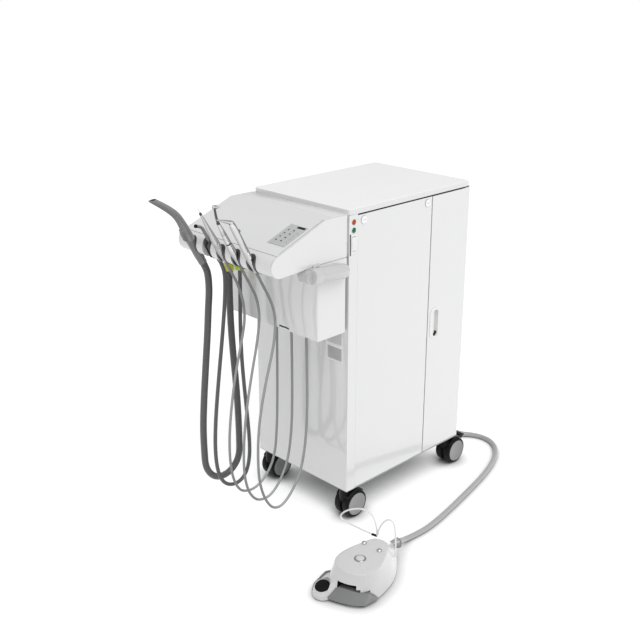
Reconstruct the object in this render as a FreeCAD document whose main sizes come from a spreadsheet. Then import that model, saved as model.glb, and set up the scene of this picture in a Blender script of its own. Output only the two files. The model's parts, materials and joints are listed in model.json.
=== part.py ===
"""Portable dental unit: a cabinet on four twin-wheel casters, with an instrument console across its
front, five instruments on hoses, a hose box below the console and a foot control on the floor.

Millimetres. +Z is up, the console faces -Y, the doors are on +X, and the floor is z = 0."""
import FreeCAD, Part
import Sketcher
import math
import os
from FreeCAD import Placement, Rotation, Vector

doc = FreeCAD.newDocument("portable_dental_unit")
sheet = doc.addObject("Spreadsheet::Sheet", "sizes")
X_AXIS = Vector(1, 0, 0)
Y_AXIS = Vector(0, 1, 0)
Z_AXIS = Vector(0, 0, 1)


# ---------------------------------------------------------------- sizes and their sums
class Size:
    """A size or a sum of sizes: the expression that the document keeps, and its present value."""

    def __init__(self, text, read):
        self.text = text
        self.read = read

    @property
    def value(self):
        return self.read()

    def join(self, other, sign, work):
        other = as_size(other)
        return Size(f"({self.text} {sign} {other.text})", lambda: work(self.value, other.value))

    def __add__(self, other):
        return self.join(other, "+", lambda a, b: a + b)

    def __sub__(self, other):
        return self.join(other, "-", lambda a, b: a - b)

    def __mul__(self, other):
        return self.join(other, "*", lambda a, b: a * b)

    def __truediv__(self, other):
        return self.join(other, "/", lambda a, b: a / b)

    def __radd__(self, other):
        return as_size(other) + self

    def __rsub__(self, other):
        return as_size(other) - self

    def __rmul__(self, other):
        return as_size(other) * self

    def __neg__(self):
        return as_size(0) - self


def as_size(value):
    return value if isinstance(value, Size) else Size(repr(value), lambda: value)


def sine(angle):
    return Size(f"sin({angle.text})", lambda: math.sin(math.radians(angle.value)))


def cosine(angle):
    return Size(f"cos({angle.text})", lambda: math.cos(math.radians(angle.value)))


def tangent(angle):
    return Size(f"tan({angle.text})", lambda: math.tan(math.radians(angle.value)))


# ---------------------------------------------------------------- the unit's own sizes
# how much of the shorter run each arc of a bent rod takes
run_share = 0.45
# cabinet and its sheet metal
cabinet_width = 335
cabinet_depth = 451
caster_height = 88
body_height = 726
metal = 2
worktop_thickness = 14
worktop_corner = 9
worktop_edge = 2
door_gap = 1.2
top_gap = 1.4
floor_gap = 0.4
fold_depth = 12
post_width = 29
post_return = 27
pan_flange = 22
panel_seam = 299
door_edge_gap = 0.5
# frame behind the doors and what it carries
post_size = 18
rail_height = 10
rail_depth = 10
rear_post_depth = 17
rear_post_width = 21
shelf_height = 430
partition_metal = 2
frame_clearance = 1
# lamps, switch, locks
lamp_radius = 5.2
lamp_ring = 6.5
lamp_ring_height = 1
lamp_height = 3
lamp_inset = 14.8
lamp_drop = 17
lamp_pitch = 19.5
lamp_depth = 9
bezel_width = 20
bezel_height = 47
bezel_thickness = 1.5
bezel_inset = 4.5
bezel_drop = 46
bezel_depth = 12
rocker_width = 14
rocker_height = 34.6
rocker_rise = 1.2
rocker_pivot = 5
rocker_waist = 10
rocker_play = 1
running_gap = 0.3
fit_gap = 0.05
lock_radius = 9.6
lock_head = 1.6
lock_spindle = 4
lock_depth = 30
cam_length = 14
cam_width = 7
cam_metal = 3
lock_drop = 17
lock_inset = 18.3
lock_shank = 8
# hinge of the service door
hinge_inset_x = 6
hinge_inset_y = 4
knuckle_radius = 3.5
pin_radius = 1.6
leaf_metal = 1.5
leaf_width = 15
knuckle_height = 18
hinge_low = 150
hinge_high = 740
rear_panel_gap = 11.5
# recessed pull of the service door
pull_width = 35
pull_height = 85
pull_inset = 8.4
pull_low = 423.5
pull_rim = 1.6
pull_well = 19
pull_well_height = 75
pull_depth = 11
pull_wall = 1.5
pull_well_inset = 2
# rear panel
vent_width = 90
vent_slot = 4
vent_pitch = 10
vent_count = 8
vent_low = 560
inlet_width = 28
inlet_height = 20
inlet_depth = 22
inlet_rim = 3
inlet_low = 190
inlet_x = -90
outlet_radius = 11
outlet_length = 14
outlet_x = 30
outlet_height = 128
# things inside
pump_length = 150
pump_radius = 52
pump_height = 10
tank_radius = 55
tank_length = 190
inner_gap = 6
bay_front_gap = 4
bay_rear_gap = 24
canister_height = 210
canister_lid = 18
bottle_step = 17
bottle_height = 190
bottle_neck = 14
bottle_neck_height = 22
supply_width = 60
supply_depth = 110
supply_height = 160
# console
console_gap = 7
plate_thickness = 5
plate_top = 10
plate_height = 100
top_run = 69
slope_angle = 20.9
slope_length = 154.2
nose_radius = 25.5
nose_reach = 215
nose_drop = 81
trench = 43
trench_depth = 28
shell_metal = 3
bar_back = 16.5
bar_rebate = 2
seam = 0.3
underside_reach = 162.5
underside_drop = 4.3
underside_rear = 100.5
flange_height = 27
spacer_width = 40
spacer_height = 30
spacer_x = 100
keypad_width = 55
keypad_length = 79
keypad_rise = 1.2
keypad_x = 96
keypad_down = 42
keypad_corner = 5
# slots
slot_pitch = 53
slot_first = -114
slot_radius = 15.5
tilt = 28
slot_ahead = 22.5
slot_drop = 1
saliva_ahead = 5.5
liner_rise = 1
liner_lip = 1
# hose box
hose_box_inset = 2.5
hose_box_depth = 92.5
hose_box_height = 188.5
box_metal = 2.5
notch_x = 30
notch_width = 36
notch_height = 8
outlet_reach = 65.5
ferrule_radius = 6.5
ferrule_length = 10
box_edge = 3
# grab bar
bar_radius = 14
bar_gap = 16.5
bar_drop = 26
bar_front_reach = 108.5
bar_rear_reach = 18.5
bar_reach = 50
tab_height = 36
tab_width = 18
tab_metal = 3
screw_radius = 4
standoff_radius = 6
standoff_reach = 29.5
# return couplings
suction_return_side = 4
suction_return_reach = 129.5
suction_return_drop = 78
suction_coupling = 12.5
suction_coupling_height = 30
saliva_return_reach = 134.5
saliva_return_drop = 50
saliva_coupling = 7.5
saliva_coupling_height = 12
return_nipple = 8
return_nipple_small = 4.5
# service plate on the front
service_inset = 73.5
service_width = 54
service_low = 440
service_height = 100
service_metal = 1.5
pane_inset = 4
pane_low = 5
pane_height = 32
pane_gap = 8
pane_depth = 0.8
# hoses
suction_hose = 10
saliva_hose = 5.5
slim_hose = 3.75
foot_hose_radius = 6.5
suction_lead = 40
saliva_lead = 24
slim_lead = 30
# instruments, measured along the slot's axis from the seat
suction_bottom = -55.6
suction_handle = 11.5
suction_shoulder = 57
suction_neck = 83
suction_tip = 8.5
suction_bore = 7
suction_end = 161
suction_bend_y = 13
suction_bend_z = 122
suction_tip_y = 44
suction_tip_z = 176
lever_low = 22
lever_length = 26
lever_width = 9
lever_rise = 4
saliva_bottom = -41.7
saliva_body = 5.5
saliva_shoulder = 16
saliva_tube = 4
saliva_end = 3.5
saliva_top = 58
saliva_bore = 2.4
saliva_bend_y = 5.5
saliva_bend_z = 68
saliva_tip_y = 15
saliva_tip_z = 77
saliva_bore_y = 8
saliva_bore_z = 70.4
saliva_bore_end_y = 22
saliva_bore_end_z = 83.6
scaler_bottom = -23
scaler_body = 9
scaler_ring = 117
scaler_ring_radius = 3.6
scaler_tip = 133
scaler_nut = 6
drill_bottom = -16.7
drill_motor = 10
drill_ring = 45.4
drill_handle = 8.2
drill_neck_low = 103.6
drill_neck = 4.6
drill_head = 5.2
drill_head_length = 17
drill_bur = 1
drill_bur_length = 8
drill_lean = 9.4
drill_top = 137
drill_head_tilt = 127
drill_head_y = 5.6
drill_head_z = 145
syringe_bottom = -24
syringe_body = 8.7
syringe_waist = 7.6
syringe_shoulder = 92
syringe_top = 116
syringe_nozzle = 2.6
syringe_bend_y = 9
syringe_bend_z = 128
syringe_tip_y = -28.8
syringe_tip_z = 147.5
button_z = 88
button_radius = 4.5
button_rise = 6
button_well = 5
press_travel = 2
# casters
caster_side_inset = 24
caster_end_inset = 18
caster_trail = 22
wheel_radius = 37.5
wheel_width = 20
wheel_gap = 8
cover_radius = 29.5
cover_rise = 0.6
tyre_round = 4
axle_radius = 4
hood_thickness = 3
hood_gap = 1
collar_radius = 14
stem_radius = 5.5
stem_boss = 9
stem_boss_height = 8
web_radius = 14
hood_low = 6
hood_front = 30
hood_rear = 26
brake_y = 31
brake_z = 33.5
brake_barrel = 3
brake_pin = 1.5
brake_reach = 14
brake_width = 30
brake_metal = 3
ear_metal = 3
# foot control, in its own frame: x forward, y to its left, z up
foot_x = 381
foot_y = -365
foot_turn = -75.8
# how large its outlines and its wire bail are, beside the numbers that draw them
foot_scale = 1
foot_plate = 8
foot_top = 82
foot_corner = 16
foot_edge = 9
pedal_rear = 78
pedal_front = 122
pedal_top = 40
pedal_crest = 100
pedal_left = 44
pedal_right = -46
pedal_lift = 4
pedal_slot = 15
pedal_pivot_x = 85
pedal_pivot_z = 17
pedal_pin = 3
lug_metal = 4
top_button_x = 39
top_button_y = -6
top_button_radius = 8
top_button_rise = 3
button_travel = 3
top_button_length = 12
toe_x = 107.6
toe_y = -64
toe_radius = 17
toe_boss_radius = 15
toe_boss_top = 22
toe_disc = 4
toe_plunger = 6
toe_plunger_length = 11
knob_radius = 6
knob_rise = 5
left_knob_x = -23
left_knob_y = -30
right_knob_x = -15
right_knob_y = 16
tail_back = -130
tail_step = -112
tail_low = 44
tail_break = -44
tail_break_height = 82.5
tail_top = 92
gland_radius = 10
gland_tip = -132
gland_length = 28
gland_z = 30
gland_y = 2
handle_wire = 2.5


class Sheet:
    """The sizes above as the rows of a sheet: one cell and one alias for each of them."""

    def __init__(self, sizes):
        for row, (name, number) in enumerate(sizes.items(), 1):
            sheet.set(f"A{row}", name)
            sheet.set(f"B{row}", str(number))
            sheet.setAlias(f"B{row}", name)
            setattr(self, name, Size(f"sizes.{name}", lambda name=name: float(sheet.get(name))))


s = Sheet({name: number for name, number in vars().items() if isinstance(number, (int, float))})
sheet.recompute()

half = s.cabinet_width / 2
front = -(s.cabinet_depth / 2)
back = s.cabinet_depth / 2
floor_z = s.caster_height
walls_z = floor_z + s.metal
under_top = s.caster_height + s.body_height
places = {}
# how far apart two edges may lie and still count as level or parallel
closeness = 0.001


# ---------------------------------------------------------------- ways to make a solid
def tie(thing, prop, value):
    thing.setExpression(prop, as_size(value).text)


def at(thing, x=0, y=0, z=0):
    """Stands a piece's own origin at a place."""
    places[thing.Name] = (as_size(x), as_size(y), as_size(z))
    for axis, value in zip("xyz", places[thing.Name]):
        tie(thing, f"Placement.Base.{axis}", value)
    return thing


def quarter_turned(thing, axis):
    """Turns a piece about its own origin by a right angle."""
    thing.Placement = Placement(Vector(), Rotation(axis, 90))
    return thing


def turned(thing, axis, angle):
    """Turns a piece about its own origin by a size of the sheet."""
    thing.Placement = Placement(Vector(), Rotation(axis, as_size(angle).value))
    tie(thing, "Placement.Rotation.Angle", angle)
    return thing


def box(name, x, y, z):
    thing = doc.addObject("Part::Box", name)
    for prop, (low, high) in zip(("Length", "Width", "Height"), (x, y, z)):
        tie(thing, prop, as_size(high) - low)
    return at(thing, x[0], y[0], z[0])


def cylinder(name, axis, start, radius, length):
    """A cylinder from its start point along +X, +Y or +Z."""
    thing = doc.addObject("Part::Cylinder", name)
    turns = {"X": Rotation(Y_AXIS, 90), "Y": Rotation(X_AXIS, -90), "Z": Rotation()}
    thing.Placement = Placement(Vector(), turns[axis])
    tie(thing, "Radius", radius)
    tie(thing, "Height", length)
    return at(thing, *start)


def sphere(name, centre, radius):
    thing = doc.addObject("Part::Sphere", name)
    tie(thing, "Radius", radius)
    return at(thing, *centre)


def fuse(name, *things):
    thing = doc.addObject("Part::MultiFuse", name)
    thing.Shapes = list(things)
    thing.Refine = True
    return at(thing)


def cut(name, base, *tools):
    thing = doc.addObject("Part::Cut", name)
    thing.Base = base
    thing.Tool = tools[0] if len(tools) == 1 else fuse(name + "_tools", *tools)
    return at(thing)


def common(name, *things):
    thing = doc.addObject("Part::MultiCommon", name)
    thing.Shapes = list(things)
    return at(thing)


def group(name, *things):
    """Separate solids that one node holds."""
    thing = doc.addObject("Part::Compound", name)
    thing.Links = list(things)
    return at(thing)


def sketch_on(body, plane, offset):
    face = next(f for f in body.Origin.OriginFeatures if f.Role == plane + "_Plane")
    sketch = body.newObject("Sketcher::SketchObject", body.Name + "_outline")
    sketch.AttachmentSupport = [(face, "")]
    sketch.MapMode = "FlatFace"
    tie(sketch, "AttachmentOffset.Base.z", offset)
    return sketch


def draw(sketch, points):
    """A closed outline of straight lines, with both coordinates of each corner tied to the sheet."""
    corners = [(as_size(x), as_size(y)) for x, y in points]
    count = len(corners)
    flat = [Vector(x.value, y.value, 0) for x, y in corners]
    for i in range(count):
        sketch.addGeometry(Part.LineSegment(flat[i], flat[(i + 1) % count]))
    for i in range(count):
        sketch.addConstraint(Sketcher.Constraint("Coincident", i, 2, (i + 1) % count, 1))
    for i, (x, y) in enumerate(corners):
        for kind, value in (("DistanceX", x), ("DistanceY", y)):
            number = sketch.addConstraint(Sketcher.Constraint(kind, -1, 1, i, 1, value.value))
            sketch.setExpression(f"Constraints[{number}]", value.text)


def prism(name, plane, points, start, length):
    """An outline in a plane of the frame, padded along the plane's axis from start."""
    body = doc.addObject("PartDesign::Body", name)
    sketch = sketch_on(body, plane, -as_size(start) if plane == "XZ" else start)
    draw(sketch, points)
    pad = body.newObject("PartDesign::Pad", name + "_pad")
    pad.Profile = sketch
    pad.Reversed = plane == "XZ"
    tie(pad, "Length", length)
    return at(body)


def turned_body(name, points):
    """A profile of radius and height, turned about the piece's own z axis."""
    body = doc.addObject("PartDesign::Body", name)
    sketch = sketch_on(body, "XZ", 0)
    draw(sketch, points)
    solid = body.newObject("PartDesign::Revolution", name + "_turn")
    solid.Profile = sketch
    solid.ReferenceAxis = (sketch, ["V_Axis"])
    solid.Angle = 360
    return at(body)


def rounded(body, pick, radius):
    """Rounds the edges of a body's last feature that pick accepts."""
    doc.recompute()
    last = body.Tip
    names = [f"Edge{i}" for i, edge in enumerate(last.Shape.Edges, 1) if pick(edge)]
    fillet = body.newObject("PartDesign::Fillet", body.Name + f"_round{len(body.Group)}")
    fillet.Base = (last, names)
    tie(fillet, "Radius", radius)
    return body


def along(axis):
    """Accepts the straight edges that run along an axis."""
    def pick(edge):
        ends = [v.Point for v in edge.Vertexes]
        return len(ends) == 2 and (ends[1] - ends[0]).normalize().cross(axis).Length < closeness
    return pick


def at_height(level):
    """Accepts the edges that lie wholly at a height."""
    def pick(edge):
        limits = edge.BoundBox
        return abs(limits.ZMin - level.value) < closeness and abs(limits.ZMax - level.value) < closeness
    return pick


def slab(name, x, y, z, corner):
    """A plate with rounded upright corners."""
    outline = [(x[0], y[0]), (x[1], y[0]), (x[1], y[1]), (x[0], y[1])]
    body = prism(name, "XY", outline, z[0], as_size(z[1]) - z[0])
    return rounded(body, along(Z_AXIS), corner)


def tangent_path(route):
    """Straight runs joined by arcs as large as the runs allow, with the radii of the arcs."""
    points = [Vector(*p) for p in route]
    edges = []
    radii = []
    last = points[0]
    for before, corner, after in zip(points, points[1:], points[2:]):
        arriving = corner - before
        leaving = after - corner
        short = min(arriving.Length, leaving.Length)
        turn = arriving.getAngle(leaving)
        reach = s.run_share.value * short
        radii.append(reach / math.tan(turn / 2))
        into = corner - arriving.normalize() * reach
        out = corner + leaving.normalize() * reach
        middle = corner + ((into + out) / 2 - corner).normalize() * (radii[-1] * (1 / math.cos(turn / 2) - 1))
        edges.append(Part.LineSegment(last, into).toShape())
        edges.append(Part.Arc(into, middle, out).toShape())
        last = out
    edges.append(Part.LineSegment(last, points[-1]).toShape())
    return Part.Wire(edges), radii


def tube(route, radius):
    """A round rod along a route."""
    path, radii = tangent_path(route)
    first = Vector(*route[1]) - Vector(*route[0])
    section = Part.Wire(Part.Circle(Vector(*route[0]), first, radius).toShape())
    return path.makePipe(Part.Face(section)), path.Length, radii


def rod(name, route, radius):
    """A piece that is a bent rod: its route holds sizes of the sheet or numbers."""
    thing = doc.addObject("Part::Feature", name)
    numbers = [tuple(as_size(c).value for c in point) for point in route]
    thing.Shape = tube(numbers, as_size(radius).value)[0]
    return at(thing)


# ---------------------------------------------------------------- cabinet
def caster_places():
    """Each caster's name and the sides that it stands on."""
    return [("front_left", -1, -1), ("front_right", 1, -1), ("rear_left", -1, 1), ("rear_right", 1, 1)]


swivel_x = half - s.caster_side_inset
swivel_y = back - s.caster_end_inset


def base_pan():
    """The floor of the cabinet, with its upturned flange and the four caster bosses."""
    plate = box("pan_plate", (-half, half), (front, back), (floor_z, walls_z))
    low = walls_z
    high = walls_z + s.pan_flange
    left = -half + s.metal
    right = half - s.fold_depth - s.frame_clearance - s.metal
    rim = box("pan_rim", (left, right), (front + s.metal, back - s.metal), (low, high))
    hollow = box("pan_hollow", (left + s.metal, right - s.metal),
                 (front + s.metal * 2, back - s.metal * 2), (low, high))
    post_room = box("pan_post_room", (half - s.post_width, half), (front, front + s.post_width + s.seam),
                    (low, high))
    parts = [plate, cut("pan_flange", rim, hollow, post_room)]
    bores = []
    for name, side, end in caster_places():
        centre = (side * swivel_x, end * swivel_y)
        parts.append(cylinder(f"boss_{name}", "Z", (*centre, low), s.stem_boss, s.stem_boss_height))
        bores.append(cylinder(f"bore_{name}", "Z", (*centre, floor_z), s.stem_radius + s.fit_gap,
                              s.stem_boss_height + s.metal))
    return cut("base_pan", fuse("pan_solid", *parts), *bores)


lamp_y = front + s.lamp_inset
lamp_top_z = under_top - s.lamp_drop
bezel_y = (front + s.bezel_inset, front + s.bezel_inset + s.bezel_width)
bezel_z = (under_top - s.bezel_drop - s.bezel_height, under_top - s.bezel_drop)


def lamp_heights():
    return [lamp_top_z, lamp_top_z - s.lamp_pitch]


def front_panel():
    """The front sheet with the corner post that its right edge is folded into."""
    z = (walls_z, under_top)
    sheet_front = box("front_sheet", (-half, half), (front, front + s.metal), z)
    post = box("front_post", (half - s.metal, half), (front, front + s.post_width), z)
    inner = box("front_inner", (half - s.post_return, half),
                (front + s.post_width - s.metal, front + s.post_width), z)
    holes = [cylinder(f"lamp_hole_{i}", "X", (half - s.metal, lamp_y, height), s.lamp_radius, s.metal)
             for i, height in enumerate(lamp_heights())]
    window = box("switch_hole", (half - s.metal, half),
                 (bezel_y[0] + s.bezel_thickness, bezel_y[1] - s.bezel_thickness),
                 (bezel_z[0] + s.bezel_thickness, bezel_z[1] - s.bezel_thickness))
    return cut("front_panel", fuse("front_solid", sheet_front, post, inner), window, *holes)


def side_panel_left():
    return box("side_panel_left", (-half, -half + s.metal), (front + s.metal, back), (walls_z, under_top))


rear_right_x = half - s.metal - s.rear_panel_gap


def rear_panel():
    """The back sheet, with ventilation slots and holes for the inlet and the hose outlet."""
    y = (back - s.metal, back)
    sheet_back = box("rear_sheet", (-half + s.metal, rear_right_x), y, (walls_z, under_top))
    slots = []
    for i in range(round(s.vent_count.value)):
        low = s.vent_low + s.vent_pitch * i
        slots.append(box(f"vent_{i}", (-s.vent_width / 2, s.vent_width / 2), y, (low, low + s.vent_slot)))
    inlet = box("inlet_hole", (s.inlet_x, s.inlet_x + s.inlet_width), y,
                (s.inlet_low, s.inlet_low + s.inlet_height))
    outlet = cylinder("outlet_hole", "Y", (s.outlet_x, back - s.metal, s.outlet_height),
                      s.outlet_radius - s.pull_rim, s.metal)
    return cut("rear_panel", sheet_back, inlet, outlet, *slots)


seam_y = front + s.panel_seam
frame_right = half - s.fold_depth - s.metal - s.frame_clearance * 3
hinge_x = half - s.hinge_inset_x
hinge_y = back - s.hinge_inset_y
post_right = hinge_x - s.knuckle_radius
post_back = hinge_y - s.leaf_metal


def door_frame():
    """The posts, the top rail, the partition and the bottle shelf behind the doors."""
    low = walls_z + s.pan_flange
    mid = box("mid_post", (frame_right - s.post_size, frame_right),
              (seam_y - s.post_size / 2, seam_y + s.post_size / 2), (low, under_top))
    rear = box("rear_post", (post_right - s.rear_post_width, post_right),
               (post_back - s.rear_post_depth, post_back), (low, under_top))
    rail_x = (frame_right - s.rail_depth, frame_right)
    rail_z = (under_top - s.rail_height, under_top)
    front_rail = box("front_rail", rail_x, (front + s.post_width, seam_y - s.post_size / 2 - s.seam), rail_z)
    rear_rail = box("rear_rail", rail_x, (seam_y + s.post_size / 2 + s.seam,
                                          post_back - s.rear_post_depth - s.seam), rail_z)
    wall = box("partition", (-half + s.metal, frame_right),
               (seam_y, seam_y + s.partition_metal), (low, under_top))
    shelf = box("shelf", (-half + s.metal, frame_right - s.post_size),
                (seam_y, back - s.metal), (s.shelf_height - s.partition_metal, s.shelf_height))
    foot_mid = box("mid_foot", (frame_right - s.post_size, frame_right - s.metal * 2),
                   (seam_y - s.post_size / 2, seam_y + s.post_size / 2), (walls_z, low))
    return group("door_frame", fuse("bay_frame", mid, wall, shelf, foot_mid), rear, front_rail, rear_rail)


def worktop():
    body = slab("worktop", (-half, half), (front, back), (under_top, under_top + s.worktop_thickness),
                s.worktop_corner)
    return rounded(body, at_height(under_top + s.worktop_thickness), s.worktop_edge)


def indicator_lamps():
    """Two lamps in rings on the corner post."""
    lamps = []
    for i, height in enumerate(lamp_heights()):
        body = cylinder(f"lamp_body_{i}", "X", (half - s.lamp_depth, lamp_y, height), s.lamp_radius,
                        s.lamp_depth)
        ring = cylinder(f"lamp_ring_{i}", "X", (half, lamp_y, height), s.lamp_ring, s.lamp_ring_height)
        lens = cylinder(f"lamp_lens_{i}", "X", (half, lamp_y, height), s.lamp_radius - s.lamp_ring_height,
                        s.lamp_height)
        lamps.append(fuse(f"lamp_{i}", body, ring, lens))
    return group("indicator_lamps", *lamps)


rocker_y = ((bezel_y[0] + bezel_y[1] - s.rocker_width) / 2, (bezel_y[0] + bezel_y[1] + s.rocker_width) / 2)
rocker_z = (bezel_z[0] + bezel_z[1]) / 2
pivot_x = half - s.rocker_pivot


def switch_bezel():
    """The rim and the housing around the mains rocker, with its pivot pin."""
    rim = box("bezel_rim", (half, half + s.bezel_thickness), bezel_y, bezel_z)
    inset = s.bezel_thickness
    housing = box("bezel_housing", (half - s.bezel_depth, half), (bezel_y[0] + inset, bezel_y[1] - inset),
                  (bezel_z[0] + inset, bezel_z[1] - inset))
    reach = s.rocker_height / 2 + s.rocker_play
    room = box("bezel_room", (half - s.bezel_depth + s.metal, half + s.bezel_thickness),
               (rocker_y[0] - s.running_gap, rocker_y[1] + s.running_gap),
               (rocker_z - reach, rocker_z + reach))
    pin = cylinder("bezel_pin", "Y", (pivot_x, bezel_y[0] + inset, rocker_z), s.pin_radius,
                   s.bezel_width - inset * 2)
    return fuse("switch_bezel", cut("bezel_shell", fuse("bezel_solid", rim, housing), room), pin)


def switch_rocker():
    """The rocker: two faces that fall away from the middle, on a pivot bore."""
    low = -s.rocker_height / 2
    high = s.rocker_height / 2
    face = half + s.bezel_thickness + s.rocker_rise - pivot_x
    outline = [(-s.rocker_pivot + s.metal, 0), (0, -s.rocker_waist), (face - s.rocker_rise, low),
               (face, 0), (face - s.rocker_rise, high), (0, s.rocker_waist)]
    body = prism("rocker_body", "XZ", outline, rocker_y[0], s.rocker_width)
    at(body, pivot_x, 0, rocker_z)
    bore = cylinder("rocker_bore", "Y", (pivot_x, rocker_y[0], rocker_z), s.pin_radius + s.fit_gap,
                    s.rocker_width)
    return cut("switch_rocker", body, bore)


# ---------------------------------------------------------------- doors
def pan(name, y, z, folded_y, folds):
    """A door sheet on the right side with folded edges: folds names the edges that are folded."""
    x = (half - s.metal, half)
    deep = (half - s.fold_depth - s.metal, half - s.metal)
    parts = [box(name + "_face", x, y, z)]
    if "front" in folds:
        parts.append(box(name + "_fold_front", deep, (y[0], y[0] + s.metal), z))
    if "rear" in folds:
        parts.append(box(name + "_fold_rear", deep, (y[1] - s.metal, y[1]), z))
    parts.append(box(name + "_fold_low", deep, folded_y, (z[0], z[0] + s.metal)))
    parts.append(box(name + "_fold_high", deep, folded_y, (z[1] - s.metal, z[1])))
    return parts


panel_y = (front + s.post_width + s.door_gap, seam_y - s.door_gap / 2)
panel_z = (walls_z + s.floor_gap, under_top - s.top_gap)
lock_z = under_top - s.lock_drop
lock_places = {"lock_front": (panel_y[0] + s.lock_inset, 1), "lock_rear": (panel_y[1] - s.lock_inset, -1)}


def access_panel():
    """The panel over the front bay. It tips out about the round bend along its lower edge."""
    corner = box("access_corner", (half - s.metal, half), panel_y, (panel_z[0], panel_z[0] + s.metal))
    sheets = pan("access", panel_y, panel_z, panel_y, ("front", "rear"))
    flat = cut("access_flat", fuse("access_sheet", *sheets), corner)
    bend = cylinder("access_bend", "Y", (half - s.metal, panel_y[0], panel_z[0] + s.metal), s.metal,
                    panel_y[1] - panel_y[0])
    solid = fuse("access_solid", flat, bend)
    holes = [cylinder(f"{name}_hole", "X", (half - s.metal, y, lock_z), s.lock_shank + s.running_gap, s.metal)
             for name, (y, side) in lock_places.items()]
    return cut("access_panel", solid, *holes)


def panel_lock(name, y, side):
    """A turn lock: its head outside the panel, its spindle and the cam that turns behind the top rail.

    The cam rests sideways, towards the middle of the panel."""
    cam_y = (y - s.cam_width / 2, y + s.cam_length) if side > 0 else (y - s.cam_length, y + s.cam_width / 2)
    inner_x = half - s.lock_depth - s.lock_head
    head = cylinder(f"{name}_head", "X", (half + s.running_gap, y, lock_z), s.lock_radius, s.lock_head)
    shank = cylinder(f"{name}_shank", "X", (half - s.metal * 2, y, lock_z), s.lock_shank,
                     s.metal * 2 + s.running_gap)
    spindle = cylinder(f"{name}_spindle", "X", (inner_x, y, lock_z), s.lock_spindle, s.lock_depth)
    cam = box(f"{name}_cam", (inner_x, inner_x + s.cam_metal), cam_y,
              (lock_z - s.cam_width / 2, lock_z + s.cam_width / 2))
    slot = box(f"{name}_slot", (half + s.running_gap + s.lock_head / 2, half + s.running_gap + s.lock_head),
               (y - s.lock_spindle, y + s.lock_spindle),
               (lock_z - s.lock_head / 2, lock_z + s.lock_head / 2))
    return cut(name, fuse(f"{name}_solid", head, shank, spindle, cam), slot)


door_y = (seam_y + s.door_gap / 2, back - s.door_edge_gap)
door_z = (panel_z[0] + s.door_gap, panel_z[1])
pull_y = (door_y[0] + s.pull_inset, door_y[0] + s.pull_inset + s.pull_width)
pull_z = (s.pull_low, s.pull_low + s.pull_height)


def hinge_heights():
    """For each hinge, the heights at which its three knuckles start."""
    rows = []
    for low in (s.hinge_low, s.hinge_high):
        rows.append([low, low + s.knuckle_height, low + s.knuckle_height * 2])
    return rows


def service_door():
    """The door over the service bay, with the middle knuckle of each hinge on its leaf."""
    folded = (door_y[0], post_back - s.rear_post_depth - s.frame_clearance * 3)
    parts = pan("service", door_y, door_z, folded, ("front",))
    leaf_x = (half - s.metal - s.leaf_metal, half - s.metal)
    bores = []
    for i, (low, middle, high) in enumerate(hinge_heights()):
        ends = (middle + s.running_gap, high - s.running_gap)
        parts.append(box(f"door_leaf_{i}", leaf_x,
                         (hinge_y - s.leaf_width, hinge_y - s.knuckle_radius - s.running_gap),
                         (low, high + s.knuckle_height)))
        parts.append(cylinder(f"door_knuckle_{i}", "Z", (hinge_x, hinge_y, ends[0]), s.knuckle_radius,
                              ends[1] - ends[0]))
        parts.append(box(f"door_bridge_{i}", leaf_x, (hinge_y - s.leaf_width / 2, hinge_y), ends))
        bores.append(cylinder(f"door_pin_bore_{i}", "Z", (hinge_x, hinge_y, low), s.pin_radius + s.fit_gap,
                              s.knuckle_height * 3))
    radius = s.pull_width / 2 - s.pull_rim
    middle_y = (pull_y[0] + pull_y[1]) / 2
    window = [box("pull_hole", (half - s.metal, half), (middle_y - radius, middle_y + radius),
                  (pull_z[0] + s.pull_width / 2, pull_z[1] - s.pull_width / 2))]
    for i, z in enumerate((pull_z[0] + s.pull_width / 2, pull_z[1] - s.pull_width / 2)):
        window.append(cylinder(f"pull_hole_{i}", "X", (half - s.metal, middle_y, z), radius, s.metal))
    hole = fuse("pull_window", *window)
    return cut("service_door", fuse("service_solid", *parts), hole, *bores)


def door_hinges():
    """The fixed halves of the two hinges, each with its leaf, two knuckles and the pin."""
    hinges = []
    for i, (low, middle, high) in enumerate(hinge_heights()):
        leaf = box(f"post_leaf_{i}", (post_right, post_right + s.leaf_metal),
                   (hinge_y - s.leaf_width, hinge_y - s.knuckle_radius - s.running_gap),
                   (low, high + s.knuckle_height))
        parts = [leaf, cylinder(f"hinge_pin_{i}", "Z", (hinge_x, hinge_y, low), s.pin_radius,
                                s.knuckle_height * 3)]
        for j, start in enumerate((low, high)):
            ends = (start, start + s.knuckle_height)
            parts.append(cylinder(f"knuckle_{i}{j}", "Z", (hinge_x, hinge_y, start), s.knuckle_radius,
                                  s.knuckle_height))
            parts.append(box(f"post_bridge_{i}{j}", (post_right, post_right + s.leaf_metal),
                             (hinge_y - s.leaf_width / 2, hinge_y), ends))
        hinges.append(fuse(f"hinge_{i}", *parts))
    return group("door_hinges", *hinges)


def stadium(name, x, y, z):
    """An upright plate with round ends, standing across the X axis."""
    radius = (as_size(y[1]) - y[0]) / 2
    middle = (as_size(y[0]) + y[1]) / 2
    length = as_size(x[1]) - x[0]
    parts = [box(name + "_flat", x, y, (z[0] + radius, z[1] - radius))]
    for i, height in enumerate((z[0] + radius, z[1] - radius)):
        parts.append(cylinder(f"{name}_end_{i}", "X", (x[0], middle, height), radius, length))
    return fuse(name, *parts)


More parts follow.
